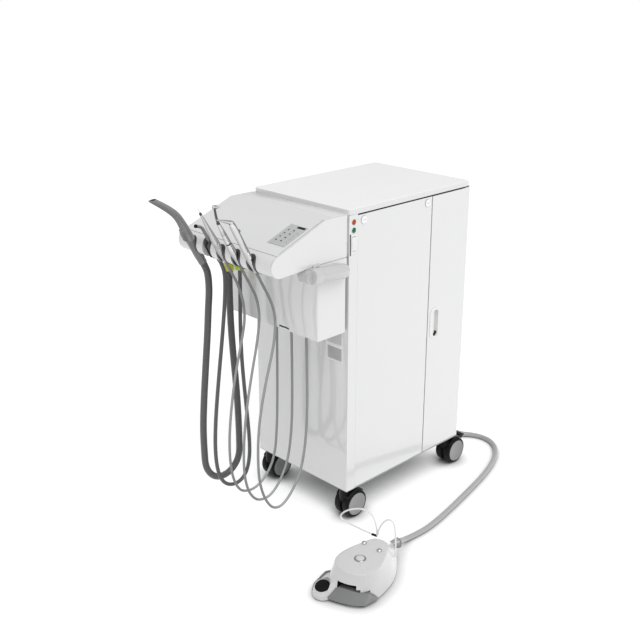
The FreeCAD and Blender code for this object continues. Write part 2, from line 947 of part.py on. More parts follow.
def door_pull():
    """The pull: a rim outside the door and a finger well behind it."""
    rim = stadium("pull_rim", (half, half + s.pull_rim), pull_y, pull_z)
    inset = s.pull_rim
    cup = stadium("pull_cup", (half - s.pull_depth, half), (pull_y[0] + inset, pull_y[1] - inset),
                  (pull_z[0] + inset, pull_z[1] - inset))
    well_y = (pull_y[1] - s.pull_well_inset - s.pull_well, pull_y[1] - s.pull_well_inset)
    well_z = (pull_z[0] + s.pull_wall * 2, pull_z[0] + s.pull_wall * 2 + s.pull_well_height)
    well = stadium("pull_well", (half - s.pull_depth + s.pull_wall, half + s.pull_rim), well_y, well_z)
    return cut("door_pull", fuse("pull_solid", rim, cup), well)


# ---------------------------------------------------------------- inside the cabinet
def compressor():
    """The suction pump and its air tank on the base pan."""
    low = walls_z
    feet_top = low + s.pump_height
    pump_x = -half + s.metal + s.inner_gap * 2 + s.pump_radius
    tank_x = frame_right - s.post_size - s.inner_gap * 2 - s.tank_radius
    start_y = front + s.post_width + s.inner_gap
    parts = []
    for name, x, radius, length in (("pump", pump_x, s.pump_radius, s.pump_length),
                                    ("tank", tank_x, s.tank_radius, s.tank_length)):
        shell = cylinder(name + "_shell", "Y", (x, start_y, feet_top + radius), radius, length)
        foot = box(name + "_foot", (x - radius / 2, x + radius / 2),
                   (start_y + s.inner_gap, start_y + length - s.inner_gap), (low, feet_top + radius / 4))
        parts.append(fuse(name, shell, foot))
    return group("compressor", *parts)


canister_radius = (back - seam_y - s.bay_front_gap - s.bay_rear_gap) / 2
bottle_radius = canister_radius - s.bottle_step
bay_y = seam_y + s.bay_front_gap + canister_radius
bay_x = -half + s.metal + s.inner_gap + canister_radius


def waste_canister():
    """The suction canister with its lid, on the floor of the service bay."""
    body = cylinder("canister_body", "Z", (bay_x, bay_y, walls_z), canister_radius - s.inner_gap,
                    s.canister_height)
    lid = cylinder("canister_lid", "Z", (bay_x, bay_y, walls_z + s.canister_height - s.metal),
                   canister_radius, s.canister_lid)
    return fuse("waste_canister", body, lid)


def water_bottle():
    """The clean water bottle, on the shelf of the service bay."""
    top = s.shelf_height + s.bottle_height
    points = [(0, 0), (bottle_radius, 0), (bottle_radius, s.bottle_height - s.bottle_neck * 2),
              (s.bottle_neck, s.bottle_height), (s.bottle_neck, s.bottle_height + s.bottle_neck_height),
              (0, s.bottle_height + s.bottle_neck_height)]
    body = turned_body("water_bottle", points)
    return at(body, bay_x, bay_y, top - s.bottle_height)


def power_supply():
    """The power supply, against the partition in the front bay."""
    x = (-half + s.metal + s.inner_gap, -half + s.metal + s.inner_gap + s.supply_width)
    return box("power_supply", x, (seam_y - s.supply_depth, seam_y),
               (s.shelf_height, s.shelf_height + s.supply_height))


# ---------------------------------------------------------------- console
console_back = front - s.console_gap
plate_high = under_top + s.worktop_thickness - s.plate_top
slope_start = console_back - s.top_run
slope_sine = sine(s.slope_angle)
slope_cosine = cosine(s.slope_angle)
plate_low = plate_high - s.plate_height
nose_y = front - s.nose_reach
nose_z = plate_high - s.nose_drop
underside_y1 = front - s.underside_reach
underside_z1 = plate_low - s.underside_drop
underside_y2 = front - s.underside_rear
inner_half = half - s.plate_thickness
shell_half = inner_half - s.seam


def on_slope(down, lift=0):
    """A point of the side profile: down the console's slope, and lifted square to it."""
    y = slope_start - slope_cosine * down - slope_sine * lift
    z = plate_high - slope_sine * down + slope_cosine * lift
    return (y, z)


def console_sides():
    """The two cheeks of the console."""
    tangent_point = (nose_y - slope_sine * s.nose_radius, nose_z + slope_cosine * s.nose_radius)
    outline = [(console_back, plate_low), (console_back, plate_high), (slope_start, plate_high),
               tangent_point, (nose_y, nose_z - s.nose_radius), (underside_y1, underside_z1),
               (underside_y2, plate_low)]
    plates = []
    for name, start in (("left", -half), ("right", inner_half)):
        plate = prism(f"cheek_{name}_plate", "YZ", outline, start, s.plate_thickness)
        nose = cylinder(f"cheek_{name}_nose", "X", (start, nose_y, nose_z), s.nose_radius,
                        s.plate_thickness)
        plates.append(fuse(f"cheek_{name}", plate, nose))
    return group("console_sides", *plates)


shell_back = front - s.trench
shell_low = plate_high - s.trench_depth


def console_shell():
    """The folded sheet over the console: a rear drop, the flat and the slope down to the holders."""
    metal = s.shell_metal
    outer_lip = on_slope(s.slope_length)
    inner_lip = on_slope(s.slope_length, -metal)
    bend = tangent(s.slope_angle / 2)
    outline = [(shell_back, shell_low), (shell_back, plate_high), (slope_start, plate_high), outer_lip,
               inner_lip, (slope_start + metal * bend, plate_high - metal),
               (shell_back - metal, plate_high - metal), (shell_back - metal, shell_low)]
    return prism("console_shell", "YZ", outline, -shell_half, shell_half * 2)


bar_back_y = nose_y + s.bar_back


def console_floor():
    """The pan below the shell: front flange, bottom, back and the ledge of the rear trench."""
    metal = s.metal
    low = plate_low
    outline = [(bar_back_y, low), (console_back, low), (console_back, shell_low),
               (shell_back - s.shell_metal, shell_low),
               (shell_back - s.shell_metal, shell_low - metal), (console_back - metal, shell_low - metal),
               (console_back - metal, low + metal), (bar_back_y + metal, low + metal),
               (bar_back_y + metal, low + s.flange_height), (bar_back_y, low + s.flange_height)]
    parts = [prism("floor_sheet", "YZ", outline, -shell_half, shell_half * 2)]
    middle = (plate_low + shell_low) / 2
    for side in (-1, 1):
        x = side * s.spacer_x
        parts.append(box(f"spacer_{side + 1}", (x - s.spacer_width / 2, x + s.spacer_width / 2),
                         (console_back - metal, front), (middle, middle + s.spacer_height)))
    return fuse("console_floor", *parts)


slot_y = nose_y - s.slot_ahead
slot_z = nose_z - s.slot_drop
saliva_y = nose_y - s.saliva_ahead
instrument_names = ("suction", "saliva", "scaler", "drill", "syringe")
slots = {name: s.slot_first + s.slot_pitch * i for i, name in enumerate(instrument_names)}
seat_y = {name: saliva_y if name == "saliva" else slot_y for name in instrument_names}
grip = {"suction": s.suction_handle, "saliva": s.saliva_body, "scaler": s.scaler_body,
        "drill": s.drill_motor, "syringe": s.syringe_body}


def seated(thing, name):
    """Tilts a piece that was made upright and sets it into its slot."""
    turned(thing, X_AXIS, s.tilt)
    return at(thing, slots[name], seat_y[name], slot_z)


def slot_core(label, name, radius):
    """A rod along a slot's axis, longer than the holder is thick."""
    length = s.nose_radius * 4
    thing = cylinder(f"{label}_{name}", "Z", (0, 0, 0), radius, length)
    turned(thing, X_AXIS, s.tilt)
    return at(thing, slots[name], seat_y[name] + sine(s.tilt) * length / 2,
              slot_z - cosine(s.tilt) * length / 2)


def slot_sheet(label, name, width):
    """The slanted space in front of a slot's axis."""
    length = s.nose_radius * 4
    thing = doc.addObject("Part::Box", f"{label}_{name}")
    tie(thing, "Length", width * 2)
    tie(thing, "Width", length)
    tie(thing, "Height", length)
    turned(thing, X_AXIS, s.tilt)
    return at(thing, slots[name] - width, seat_y[name] + sine(s.tilt) * length / 2 - cosine(s.tilt) * length,
              slot_z - cosine(s.tilt) * length / 2 - sine(s.tilt) * length)


def holder_bar():
    """The round-nosed bar with the five notches that hold the instruments."""
    nose = cylinder("bar_nose", "X", (-shell_half, nose_y, nose_z), s.nose_radius, shell_half * 2)
    rear = box("bar_rear", (-shell_half, shell_half), (bar_back_y, bar_back_y + s.nose_radius),
               (nose_z - s.nose_radius, nose_z + s.nose_radius))
    lip_y, lip_z = on_slope(s.slope_length, -s.shell_metal - s.seam * 2)
    rebate = box("bar_rebate", (-shell_half, shell_half), (lip_y - s.bar_rebate, bar_back_y),
                 (lip_z - s.seam, nose_z + s.nose_radius))
    tools = [rear, rebate]
    for name in instrument_names:
        tools.append(slot_core("notch_core", name, s.slot_radius))
        tools.append(slot_sheet("notch_sheet", name, s.slot_radius))
    return cut("holder_bar", nose, *tools)


def slot_liners():
    """A liner in each notch, open to the front and as wide inside as the instrument's grip."""
    liners = []
    for name in instrument_names:
        outer = slot_core("liner_outer", name, s.slot_radius)
        nose = cylinder(f"liner_nose_{name}", "X", (slots[name] - s.slot_radius, nose_y, nose_z),
                        s.nose_radius + s.liner_rise, s.slot_radius * 2)
        rear = box(f"liner_rear_{name}", (slots[name] - s.slot_radius, slots[name] + s.slot_radius),
                   (bar_back_y, bar_back_y + s.nose_radius * 2),
                   (nose_z - s.nose_radius * 2, nose_z + s.nose_radius * 2))
        lip_y, lip_z = on_slope(s.slope_length, -s.shell_metal - s.seam * 2)
        under_lip = box(f"liner_lip_{name}", (slots[name] - s.slot_radius, slots[name] + s.slot_radius),
                        (lip_y - s.bar_rebate, bar_back_y), (lip_z - s.seam, nose_z + s.nose_radius * 2))
        bore = slot_core("liner_bore", name, grip[name] + s.running_gap)
        mouth = slot_sheet("liner_mouth", name, grip[name] - s.liner_lip)
        liners.append(cut(f"liner_{name}", common(f"liner_solid_{name}", outer, nose), rear, under_lip, bore,
                          mouth))
    return group("slot_liners", *liners)


def keypad():
    """The key field that lies on the slope."""
    body = slab("keypad", (0, s.keypad_width), (-s.keypad_length, 0), (0, s.keypad_rise), s.keypad_corner)
    rounded(body, at_height(s.keypad_rise), s.keypad_rise / 3)
    turned(body, X_AXIS, s.slope_angle)
    y, z = on_slope(s.keypad_down)
    return at(body, s.keypad_x, y, z)


# ---------------------------------------------------------------- hose box, grab bar, couplings
box_half = half - s.hose_box_inset
box_y = (console_back - s.hose_box_depth, console_back)
box_z = (plate_low - s.hose_box_height, plate_low)
outlet_y = console_back - s.outlet_reach
bar_x = half + s.bar_gap
bar_z = plate_low - s.bar_drop
bar_front = console_back - s.bar_front_reach
bar_rear = console_back - s.bar_rear_reach
standoff_y = console_back - s.standoff_reach
outlet_names = ("scaler", "drill", "syringe")


def hose_box():
    """The sheet box below the console that the slim hoses run into."""
    solid = prism("hose_box_solid", "XY", [(-box_half, box_y[0]), (box_half, box_y[0]),
                                           (box_half, box_y[1]), (-box_half, box_y[1])],
                  box_z[0], box_z[1] - box_z[0])
    rounded(solid, along(Z_AXIS), s.box_edge)
    wall = s.box_metal
    hollow = box("hose_box_hollow", (-box_half + wall, box_half - wall), (box_y[0] + wall, box_y[1] - wall),
                 (box_z[0] + wall, box_z[1]))
    notch = box("hose_box_notch", (s.notch_x, s.notch_x + s.notch_width), (box_y[0], box_y[0] + wall),
                (box_z[0], box_z[0] + s.notch_height))
    holes = [cylinder(f"hose_hole_{name}", "Z", (slots[name], outlet_y, box_z[0]),
                      s.ferrule_radius - s.box_metal / 2, wall) for name in outlet_names]
    return cut("hose_box", solid, hollow, notch, *holes)


def hose_outlets():
    """The ferrules in the bottom of the hose box."""
    ferrules = []
    for name in outlet_names:
        x = slots[name]
        flange = cylinder(f"ferrule_flange_{name}", "Z", (x, outlet_y, box_z[0] - s.box_metal),
                          s.ferrule_radius, s.box_metal)
        nose = cylinder(f"ferrule_nose_{name}", "Z", (x, outlet_y, box_z[0] - s.ferrule_length),
                        s.ferrule_radius - s.box_metal / 2, s.ferrule_length + s.box_metal * 2)
        ferrules.append(fuse(f"ferrule_{name}", flange, nose))
    return group("hose_outlets", *ferrules)


def grab_bar():
    """The bar beside the hose box: round arm, bend, front stub, fixing tab and stand-off."""
    z = bar_z
    route = [(bar_x, bar_rear, z), (bar_x, bar_front, z), (bar_x - s.bar_reach, bar_front, z)]
    arm = rod("bar_arm", route, s.bar_radius)
    domes = [sphere(f"bar_dome_{i}", route[i], s.bar_radius) for i in (0, 2)]
    tab = box("bar_tab", (half, half + s.tab_metal),
              (bar_front - s.tab_width / 2, bar_front + s.tab_width / 2),
              (z - s.bar_radius / 2, z + s.tab_height))
    screw = cylinder("bar_screw", "X", (half, bar_front, z + s.tab_height - s.screw_radius * 2),
                     s.screw_radius, s.tab_metal + s.metal)
    post = cylinder("bar_standoff", "X", (box_half, standoff_y, z), s.standoff_radius, bar_x - box_half)
    return fuse("grab_bar", arm, *domes, tab, screw, post)


returns = {"suction": (slots["suction"] + s.suction_return_side, console_back - s.suction_return_reach,
                       plate_low - s.suction_return_drop),
           "saliva": (slots["saliva"], console_back - s.saliva_return_reach,
                      plate_low - s.saliva_return_drop)}


def return_couplings():
    """The couplings at which the two suction hoses enter the console from below."""
    couplings = []
    for name, radius, height, nipple in (
            ("suction", s.suction_coupling, s.suction_coupling_height, s.return_nipple),
            ("saliva", s.saliva_coupling, s.saliva_coupling_height, s.return_nipple_small)):
        x, y, z = returns[name]
        sleeve = cylinder(f"coupling_{name}_sleeve", "Z", (x, y, z), radius, height)
        stem = cylinder(f"coupling_{name}_stem", "Z", (x, y, z), nipple, plate_low - z)
        couplings.append(fuse(f"coupling_{name}", sleeve, stem))
    return group("return_couplings", *couplings)


def service_plate():
    """The plate with two recessed panes on the front of the cabinet."""
    y = (front - s.service_metal, front)
    x = (half - s.service_inset, half - s.service_inset + s.service_width)
    plate = box("service_blank", x, y, (s.service_low, s.service_low + s.service_height))
    panes = []
    for i in range(2):
        low = s.service_low + s.pane_low + (s.pane_height + s.pane_gap) * i
        panes.append(box(f"pane_{i}", (x[0] + s.pane_inset, x[1] - s.pane_inset),
                         (front - s.service_metal, front - s.service_metal + s.pane_depth),
                         (low, low + s.pane_height)))
    return cut("service_plate", plate, *panes)


def rear_fittings():
    """The power inlet and the gland of the foot control's hose, in the rear panel."""
    rim = s.inlet_rim
    flange = box("inlet_flange", (s.inlet_x - rim, s.inlet_x + s.inlet_width + rim), (back, back + s.metal),
                 (s.inlet_low - rim, s.inlet_low + s.inlet_height + rim))
    body = box("inlet_body", (s.inlet_x, s.inlet_x + s.inlet_width), (back - s.inlet_depth, back),
               (s.inlet_low, s.inlet_low + s.inlet_height))
    wall = s.metal
    room = box("inlet_room", (s.inlet_x + wall, s.inlet_x + s.inlet_width - wall),
               (back - s.inlet_depth + wall, back + wall),
               (s.inlet_low + wall, s.inlet_low + s.inlet_height - wall))
    inlet = cut("inlet", fuse("inlet_solid", flange, body), room)
    nut = cylinder("outlet_nut", "Y", (s.outlet_x, back, s.outlet_height), s.outlet_radius, s.outlet_length)
    stem = cylinder("outlet_stem", "Y", (s.outlet_x, back - s.outlet_length, s.outlet_height),
                    s.outlet_radius - s.pull_rim, s.outlet_length)
    return group("rear_fittings", inlet, fuse("outlet", nut, stem))


# ---------------------------------------------------------------- instruments
def suction_handpiece():
    """The large suction handpiece: straight handle with a slide, and a bent open tip."""
    handle = turned_body("suction_grip", [
        (0, s.suction_bottom), (s.suction_handle - s.metal, s.suction_bottom),
        (s.suction_handle, s.suction_bottom + s.metal), (s.suction_handle, s.suction_shoulder),
        (s.suction_tip, s.suction_neck), (0, s.suction_neck)])
    bend = [(0, 0, s.suction_shoulder), (0, 0, s.suction_neck + s.lever_rise),
            (0, -s.suction_bend_y, s.suction_bend_z), (0, -s.suction_tip_y, s.suction_tip_z)]
    tip = rod("suction_tip_rod", bend, s.suction_tip)
    bore = rod("suction_bore_rod", bend, s.suction_bore)
    crop = box("suction_crop", (-s.tank_radius, s.tank_radius), (-s.tank_length, s.tank_length),
               (s.suction_end, s.suction_end + s.tank_radius))
    lever = slab("suction_lever", (-s.lever_width / 2, s.lever_width / 2),
                 (-s.suction_handle - s.lever_rise, 0), (s.lever_low, s.lever_low + s.lever_length),
                 s.lever_rise / 2)
    solid = fuse("suction_solid", handle, tip, lever)
    return seated(cut("suction_handpiece", solid, bore, crop), "suction")


def saliva_handpiece():
    """The saliva ejector: a slim body, a thinner tube and a bent end with a bore."""
    body = turned_body("saliva_grip", [
        (0, s.saliva_bottom), (s.saliva_body, s.saliva_bottom), (s.saliva_body, s.saliva_shoulder),
        (s.saliva_tube, s.saliva_shoulder + s.metal), (s.saliva_tube, s.saliva_top), (0, s.saliva_top)])
    elbow = rod("saliva_elbow", [(0, 0, s.saliva_shoulder), (0, 0, s.saliva_top),
                                 (0, -s.saliva_bend_y, s.saliva_bend_z),
                                 (0, -s.saliva_tip_y, s.saliva_tip_z)],
                s.saliva_end)
    bore = rod("saliva_bore_rod", [(0, -s.saliva_bore_y, s.saliva_bore_z),
                                   (0, -s.saliva_bore_end_y, s.saliva_bore_end_z)], s.saliva_bore)
    return seated(cut("saliva_handpiece", fuse("saliva_solid", body, elbow), bore), "saliva")


def scaler_handpiece():
    """The ultrasonic scaler: hose nut, tapering sleeve, dark ring and a fine tip."""
    body = turned_body("scaler_handpiece", [
        (0, s.scaler_bottom), (s.scaler_nut, s.scaler_bottom), (s.scaler_body, s.scaler_bottom / 2),
        (s.scaler_body, s.scaler_nut * 3), (s.scaler_nut, s.scaler_ring / 2 + s.scaler_nut),
        (s.scaler_ring_radius, s.scaler_ring - s.metal), (s.scaler_ring_radius, s.scaler_ring + s.metal),
        (s.metal, s.scaler_ring + s.metal * 2), (s.metal / 4, s.scaler_tip), (0, s.scaler_tip)])
    return seated(body, "scaler")


def drill_handpiece():
    """The drill: motor, ring, tapering sleeve, bent neck and a head with its bur."""
    body = turned_body("drill_grip", [
        (0, s.drill_bottom), (s.drill_motor - s.metal, s.drill_bottom),
        (s.drill_motor, s.drill_bottom + s.metal), (s.drill_motor, s.drill_ring),
        (s.drill_handle, s.drill_ring + s.metal), (s.drill_neck, s.drill_neck_low), (0, s.drill_neck_low)])
    neck = rod("drill_neck_rod", [(0, 0, s.drill_neck_low - s.drill_neck),
                                  (0, s.metal, s.drill_neck_low + s.drill_motor),
                                  (0, s.drill_lean, s.drill_top)], s.drill_neck)
    head = cylinder("drill_head_body", "Z", (0, 0, 0), s.drill_head, s.drill_head_length)
    turned(head, X_AXIS, -s.drill_head_tilt)
    at(head, 0, s.drill_head_y, s.drill_head_z)
    bur = cylinder("drill_bur_rod", "Z", (0, 0, 0), s.drill_bur, s.drill_bur_length + s.drill_head_length)
    turned(bur, X_AXIS, -s.drill_head_tilt)
    at(bur, 0, s.drill_head_y, s.drill_head_z)
    return seated(fuse("drill_handpiece", body, neck, head, bur), "drill")


def syringe():
    """The three-way syringe: grip, head with a button well, and a bent nozzle."""
    body = turned_body("syringe_grip", [
        (0, s.syringe_bottom), (s.syringe_waist, s.syringe_bottom),
        (s.syringe_body, s.syringe_bottom + s.metal), (s.syringe_body, s.syringe_waist * 3),
        (s.syringe_waist, s.syringe_shoulder / 2), (s.syringe_body, s.syringe_shoulder),
        (s.syringe_waist, s.syringe_top), (0, s.syringe_top)])
    nozzle = rod("syringe_nozzle_rod", [(0, 0, s.syringe_shoulder), (0, 0, s.syringe_top),
                                        (0, -s.syringe_bend_y, s.syringe_bend_z),
                                        (0, s.syringe_tip_y, s.syringe_tip_z)],
                 s.syringe_nozzle)
    well = cylinder("button_well", "Y", (0, s.syringe_body - s.button_well, s.button_z),
                    s.button_radius + s.running_gap, s.button_well)
    return seated(cut("syringe", fuse("syringe_solid", body, nozzle), well), "syringe")


def syringe_button():
    """The button on the back of the syringe."""
    press = cylinder("button_press", "Y",
                     (0, s.syringe_body - s.button_well + s.press_travel + s.running_gap, s.button_z),
                     s.button_radius, s.button_well - s.press_travel - s.running_gap + s.button_rise)
    return seated(group("syringe_button", press), "syringe")


# ---------------------------------------------------------------- hoses
def slot_point(name, along_axis, gap=0):
    """A point of a slot's axis, measured from the seat."""
    reach = along_axis - gap
    return (slots[name], seat_y[name] - sine(s.tilt) * reach, slot_z + cosine(s.tilt) * reach)


HOSE_PATHS = {
    "suction": [(-114, -414, 590), (-114, -431, 512), (-114, -453, 412), (-114, -465, 333),
                (-114, -471, 255), (-114, -470, 190), (-114, -469, 128), (-113.5, -434, 88), (-112, -383, 88),
                (-110.5, -347, 128), (-110, -346, 190), (-110, -347, 255), (-110, -350, 335),
                (-110, -358, 437),
                (-110, -362.5, 539)],
    "saliva": [(-61, -411, 640), (-61, -418, 582), (-61, -431, 495), (-61, -450, 398), (-61, -462, 296),
               (-61, -464, 212), (-61, -459, 144), (-61, -437, 102), (-61, -398, 88), (-61, -366, 106),
               (-61, -353, 150), (-61, -352, 200), (-61, -356, 258), (-61, -364, 350), (-61, -370, 440),
               (-61, -371, 530), (-61, -368, 606)],
    "scaler": [(-8.5, -419, 656), (-9, -403, 611), (-9, -398, 558), (-9, -412, 503), (-9, -434, 424),
               (-9, -451, 335), (-9, -461, 246), (-9, -457, 165), (-9, -440, 117), (-9, -418, 95),
               (-9, -378, 90), (-9, -338, 115), (-8, -312, 161), (-8, -303, 245), (-8, -300, 335),
               (-8, -298.5, 430)],
    "drill": [(44, -424, 664), (43, -404, 628), (41.5, -395, 580), (41, -404, 518), (41, -424, 440),
              (41, -445, 345), (41, -456, 255), (41, -457, 183), (41, -447, 133), (41, -429, 103),
              (41, -409, 88), (42, -375, 86), (43, -341, 116), (44, -312, 171), (45, -300, 262),
              (45, -297.5, 352), (45, -297, 438)],
    "syringe": [(96, -417, 653), (94, -398, 616), (92, -390, 570), (92, -399, 514), (92, -422, 443),
                (92, -444, 358), (92, -454, 280), (92, -454, 197), (92, -444, 147), (92, -426, 107),
                (93, -406, 86), (94, -379, 84), (95, -346, 112), (97, -315, 166), (98, -300, 253),
                (98, -296, 345), (98, -297, 435)],
}
HOSE_LEADS = {"suction": s.suction_lead, "saliva": s.saliva_lead, "scaler": s.slim_lead,
              "drill": s.slim_lead, "syringe": s.slim_lead}
FOOT_HOSE_PATH = [(346, -216, 25), (338, -197, 14), (334, -175, 7.4), (337, -145, 6.6), (338, -100, 6.7),
                  (330, -40, 6.6), (315, 40, 6.6), (297, 125, 6.6), (274, 225, 6.6), (241, 318, 6.6),
                  (207, 370, 6.6), (172, 396, 6.6), (138, 402, 6.6), (104, 392, 6.6), (75, 366, 9),
                  (53, 340, 26), (40, 326, 56), (33, 306, 88), (30, 280, 113)]
hose_radius = {"suction": s.suction_hose, "saliva": s.saliva_hose, "scaler": s.slim_hose,
               "drill": s.slim_hose, "syringe": s.slim_hose}
hose_start = {"suction": s.suction_bottom, "saliva": s.saliva_bottom, "scaler": s.scaler_bottom,
              "drill": s.drill_bottom, "syringe": s.syringe_bottom}


def hose(node, route, radius):
    """A hose along its route; prints its length, its bend radii and its volume beside section x length."""
    thing = doc.addObject("Part::Feature", node)
    numbers = [tuple(as_size(c).value for c in point) for point in route]
    shape, length, radii = tube(numbers, as_size(radius).value)
    thing.Shape = shape
    section = math.pi * as_size(radius).value ** 2
    print(node, "length", round(length), "least radius", round(min(radii)), "of", [round(r) for r in radii],
          "volume", round(shape.Volume), "of", round(section * length))
    return at(thing)


def instrument_hose(name):
    start = slot_point(name, hose_start[name], s.running_gap)
    lead = slot_point(name, hose_start[name], s.running_gap + HOSE_LEADS[name])
    if name in returns:
        x, y, z = returns[name]
    else:
        x, y, z = slots[name], outlet_y, box_z[0] - s.ferrule_length
    return hose(f"hose_{name}", [start, lead, *HOSE_PATHS[name], (x, y, z)], hose_radius[name])


# ---------------------------------------------------------------- casters
def caster(name, side, end):
    """The fork, the wheel pair and, at the rear, the brake lever of one caster."""
    x = side * swivel_x
    y = end * swivel_y
    wheel_y = y + s.caster_trail
    wheel_z = s.wheel_radius
    whole = s.wheel_gap + s.wheel_width * 2
    hood_outer = s.wheel_radius + s.hood_gap + s.hood_thickness
    hood = cylinder(f"{name}_hood", "X", (x - whole / 2 + s.hood_thickness, wheel_y, wheel_z), hood_outer,
                    whole - s.hood_thickness * 2)
    zone = box(f"{name}_hood_zone", (x - whole, x + whole), (wheel_y - s.hood_front, wheel_y + s.hood_rear),
               (wheel_z + s.hood_low, floor_z))
    web_half = s.wheel_gap / 2 - s.running_gap
    web = cylinder(f"{name}_web", "X", (x - web_half, wheel_y, wheel_z), s.web_radius, web_half * 2)
    rib = box(f"{name}_rib", (x - web_half, x + web_half), (wheel_y - s.hood_front, wheel_y + s.web_radius),
              (wheel_z, wheel_z + s.wheel_radius))
    collar = cylinder(f"{name}_collar", "Z", (x, y, wheel_z + s.collar_radius), s.collar_radius,
                      floor_z - s.running_gap - wheel_z - s.collar_radius)
    rooms = []
    for i, low in enumerate((x - s.wheel_gap / 2 - s.wheel_width - s.hood_thickness, x + web_half)):
        rooms.append(cylinder(f"{name}_room_{i}", "X", (low, wheel_y, wheel_z), s.wheel_radius + s.hood_gap,
                              s.wheel_width + s.hood_thickness + s.running_gap))
    axle = cylinder(f"{name}_axle", "X", (x - whole / 2 + s.metal, wheel_y, wheel_z), s.axle_radius,
                    whole - s.metal * 2)
    stem_low = wheel_z + s.wheel_radius + s.hood_gap + s.metal
    stem = cylinder(f"{name}_stem", "Z", (x, y, stem_low), s.stem_radius,
                    floor_z + s.metal + s.stem_boss_height - stem_low)
    covering = [common(f"{name}_hood_part", hood, zone), collar]
    lever_y = wheel_y + s.brake_y
    lever_z = wheel_z + s.brake_z
    if end > 0:
        for i, ear in enumerate((x - s.brake_width / 2 - s.ear_metal, x + s.brake_width / 2)):
            covering.append(box(f"{name}_ear_{i}", (ear, ear + s.ear_metal),
                                (wheel_y + s.hood_rear - s.brake_barrel * 2, lever_y + s.brake_barrel),
                                (lever_z - s.brake_barrel, lever_z + s.brake_barrel)))
        rooms.append(cylinder(f"{name}_pin_bore", "X", (x - whole / 2, lever_y, lever_z),
                              s.brake_pin + s.fit_gap, whole))
    shell = cut(f"{name}_shell", fuse(f"{name}_shell_solid", *covering), *rooms)
    publish(fuse(f"caster_fork_{name}", shell, web, rib, axle, stem))
    wheels = []
    for i, low in enumerate((x - s.wheel_gap / 2 - s.wheel_width, x + s.wheel_gap / 2)):
        tyre = turned_body(f"{name}_tyre_{i}", [
            (s.axle_radius + s.fit_gap, 0), (s.wheel_radius - s.tyre_round, 0),
            (s.wheel_radius, s.tyre_round), (s.wheel_radius, s.wheel_width - s.tyre_round),
            (s.wheel_radius - s.tyre_round, s.wheel_width), (s.axle_radius + s.fit_gap, s.wheel_width)])
        quarter_turned(tyre, Y_AXIS)
        wheels.append(at(tyre, low, wheel_y, wheel_z))
        outer = x - whole / 2 - s.cover_rise if i == 0 else x + whole / 2 - s.cover_rise
        cover = cylinder(f"{name}_cover_{i}", "X", (outer, wheel_y, wheel_z), s.cover_radius,
                         s.cover_rise * 2)
        wheels[-1] = fuse(f"{name}_wheel_{i}", tyre, cover)
    publish(group(f"caster_wheels_{name}", *wheels))
    if end > 0:
        left = x - s.brake_width / 2 + s.running_gap
        barrel = cylinder(f"{name}_barrel", "X", (left, lever_y, lever_z), s.brake_barrel,
                          s.brake_width - s.running_gap * 2)
        pin = cylinder(f"{name}_brake_pin", "X", (x - s.brake_width / 2 - s.ear_metal, lever_y, lever_z),
                       s.brake_pin, s.brake_width + s.ear_metal * 2)
        pedal = box(f"{name}_pedal", (left, left + s.brake_width - s.running_gap * 2),
                    (lever_y, lever_y + s.brake_reach),
                    (lever_z - s.brake_metal / 2, lever_z + s.brake_metal / 2))
        publish(fuse(f"caster_brake_{name}", barrel, pin, pedal))


# ---------------------------------------------------------------- foot control
def on_floor(thing):
    """Turns and sets a piece of the foot control that was made in the control's own frame."""
    turned(thing, Z_AXIS, s.foot_turn)
    return at(thing, s.foot_x, s.foot_y, 0)


def scaled(points):
    """The points of an outline or a route at the foot control's present scale."""
    return [tuple(c * s.foot_scale for c in point) for point in points]


PLATE_OUTLINE = [(-121, -12), (-121, 14), (-104, 24), (-72, 39), (-24, 49), (30, 57), (60, 54), (104, 47),
                 (122, 30), (122, -44), (116, -62), (112, -82), (82, -92), (38, -94), (4, -62), (-24, -50),
                 (-72, -40), (-104, -26)]
HOUSING_OUTLINE = [(-116, -10), (-116, 12), (-74, 34), (-24, 47), (40, 53), (110, 44), (112, -46),
                   (40, -54), (-24, -48), (-74, -34)]


def foot_base():
    """The floor plate with the boss of the toe button and the lugs and pin of the pedal."""
    plate = prism("plate_blank", "XY", scaled(PLATE_OUTLINE), 0, s.foot_plate)
    rounded(plate, along(Z_AXIS), s.foot_plate / 2)
    boss = cylinder("toe_boss", "Z", (s.toe_x, s.toe_y, 0), s.toe_boss_radius, s.toe_boss_top)
    parts = [plate, boss]
    for i, y in enumerate((s.pedal_right - s.running_gap - s.lug_metal, s.pedal_left + s.running_gap)):
        parts.append(box(f"lug_{i}", (s.pedal_pivot_x - s.pedal_pin * 2, s.pedal_pivot_x + s.pedal_pin * 2),
                         (y, y + s.lug_metal), (s.foot_plate / 2, s.pedal_pivot_z + s.pedal_pin * 2)))
    parts.append(cylinder("pedal_pin", "Y", (s.pedal_pivot_x, s.pedal_right - s.lug_metal, s.pedal_pivot_z),
                          s.pedal_pin, s.pedal_left - s.pedal_right + s.lug_metal * 2))
    depth = s.toe_plunger_length + s.button_travel
    well = cylinder("toe_well", "Z", (s.toe_x, s.toe_y, s.toe_boss_top - depth),
                    s.toe_plunger + s.running_gap, depth)
    return on_floor(cut("foot_base", fuse("foot_base_solid", *parts), well))


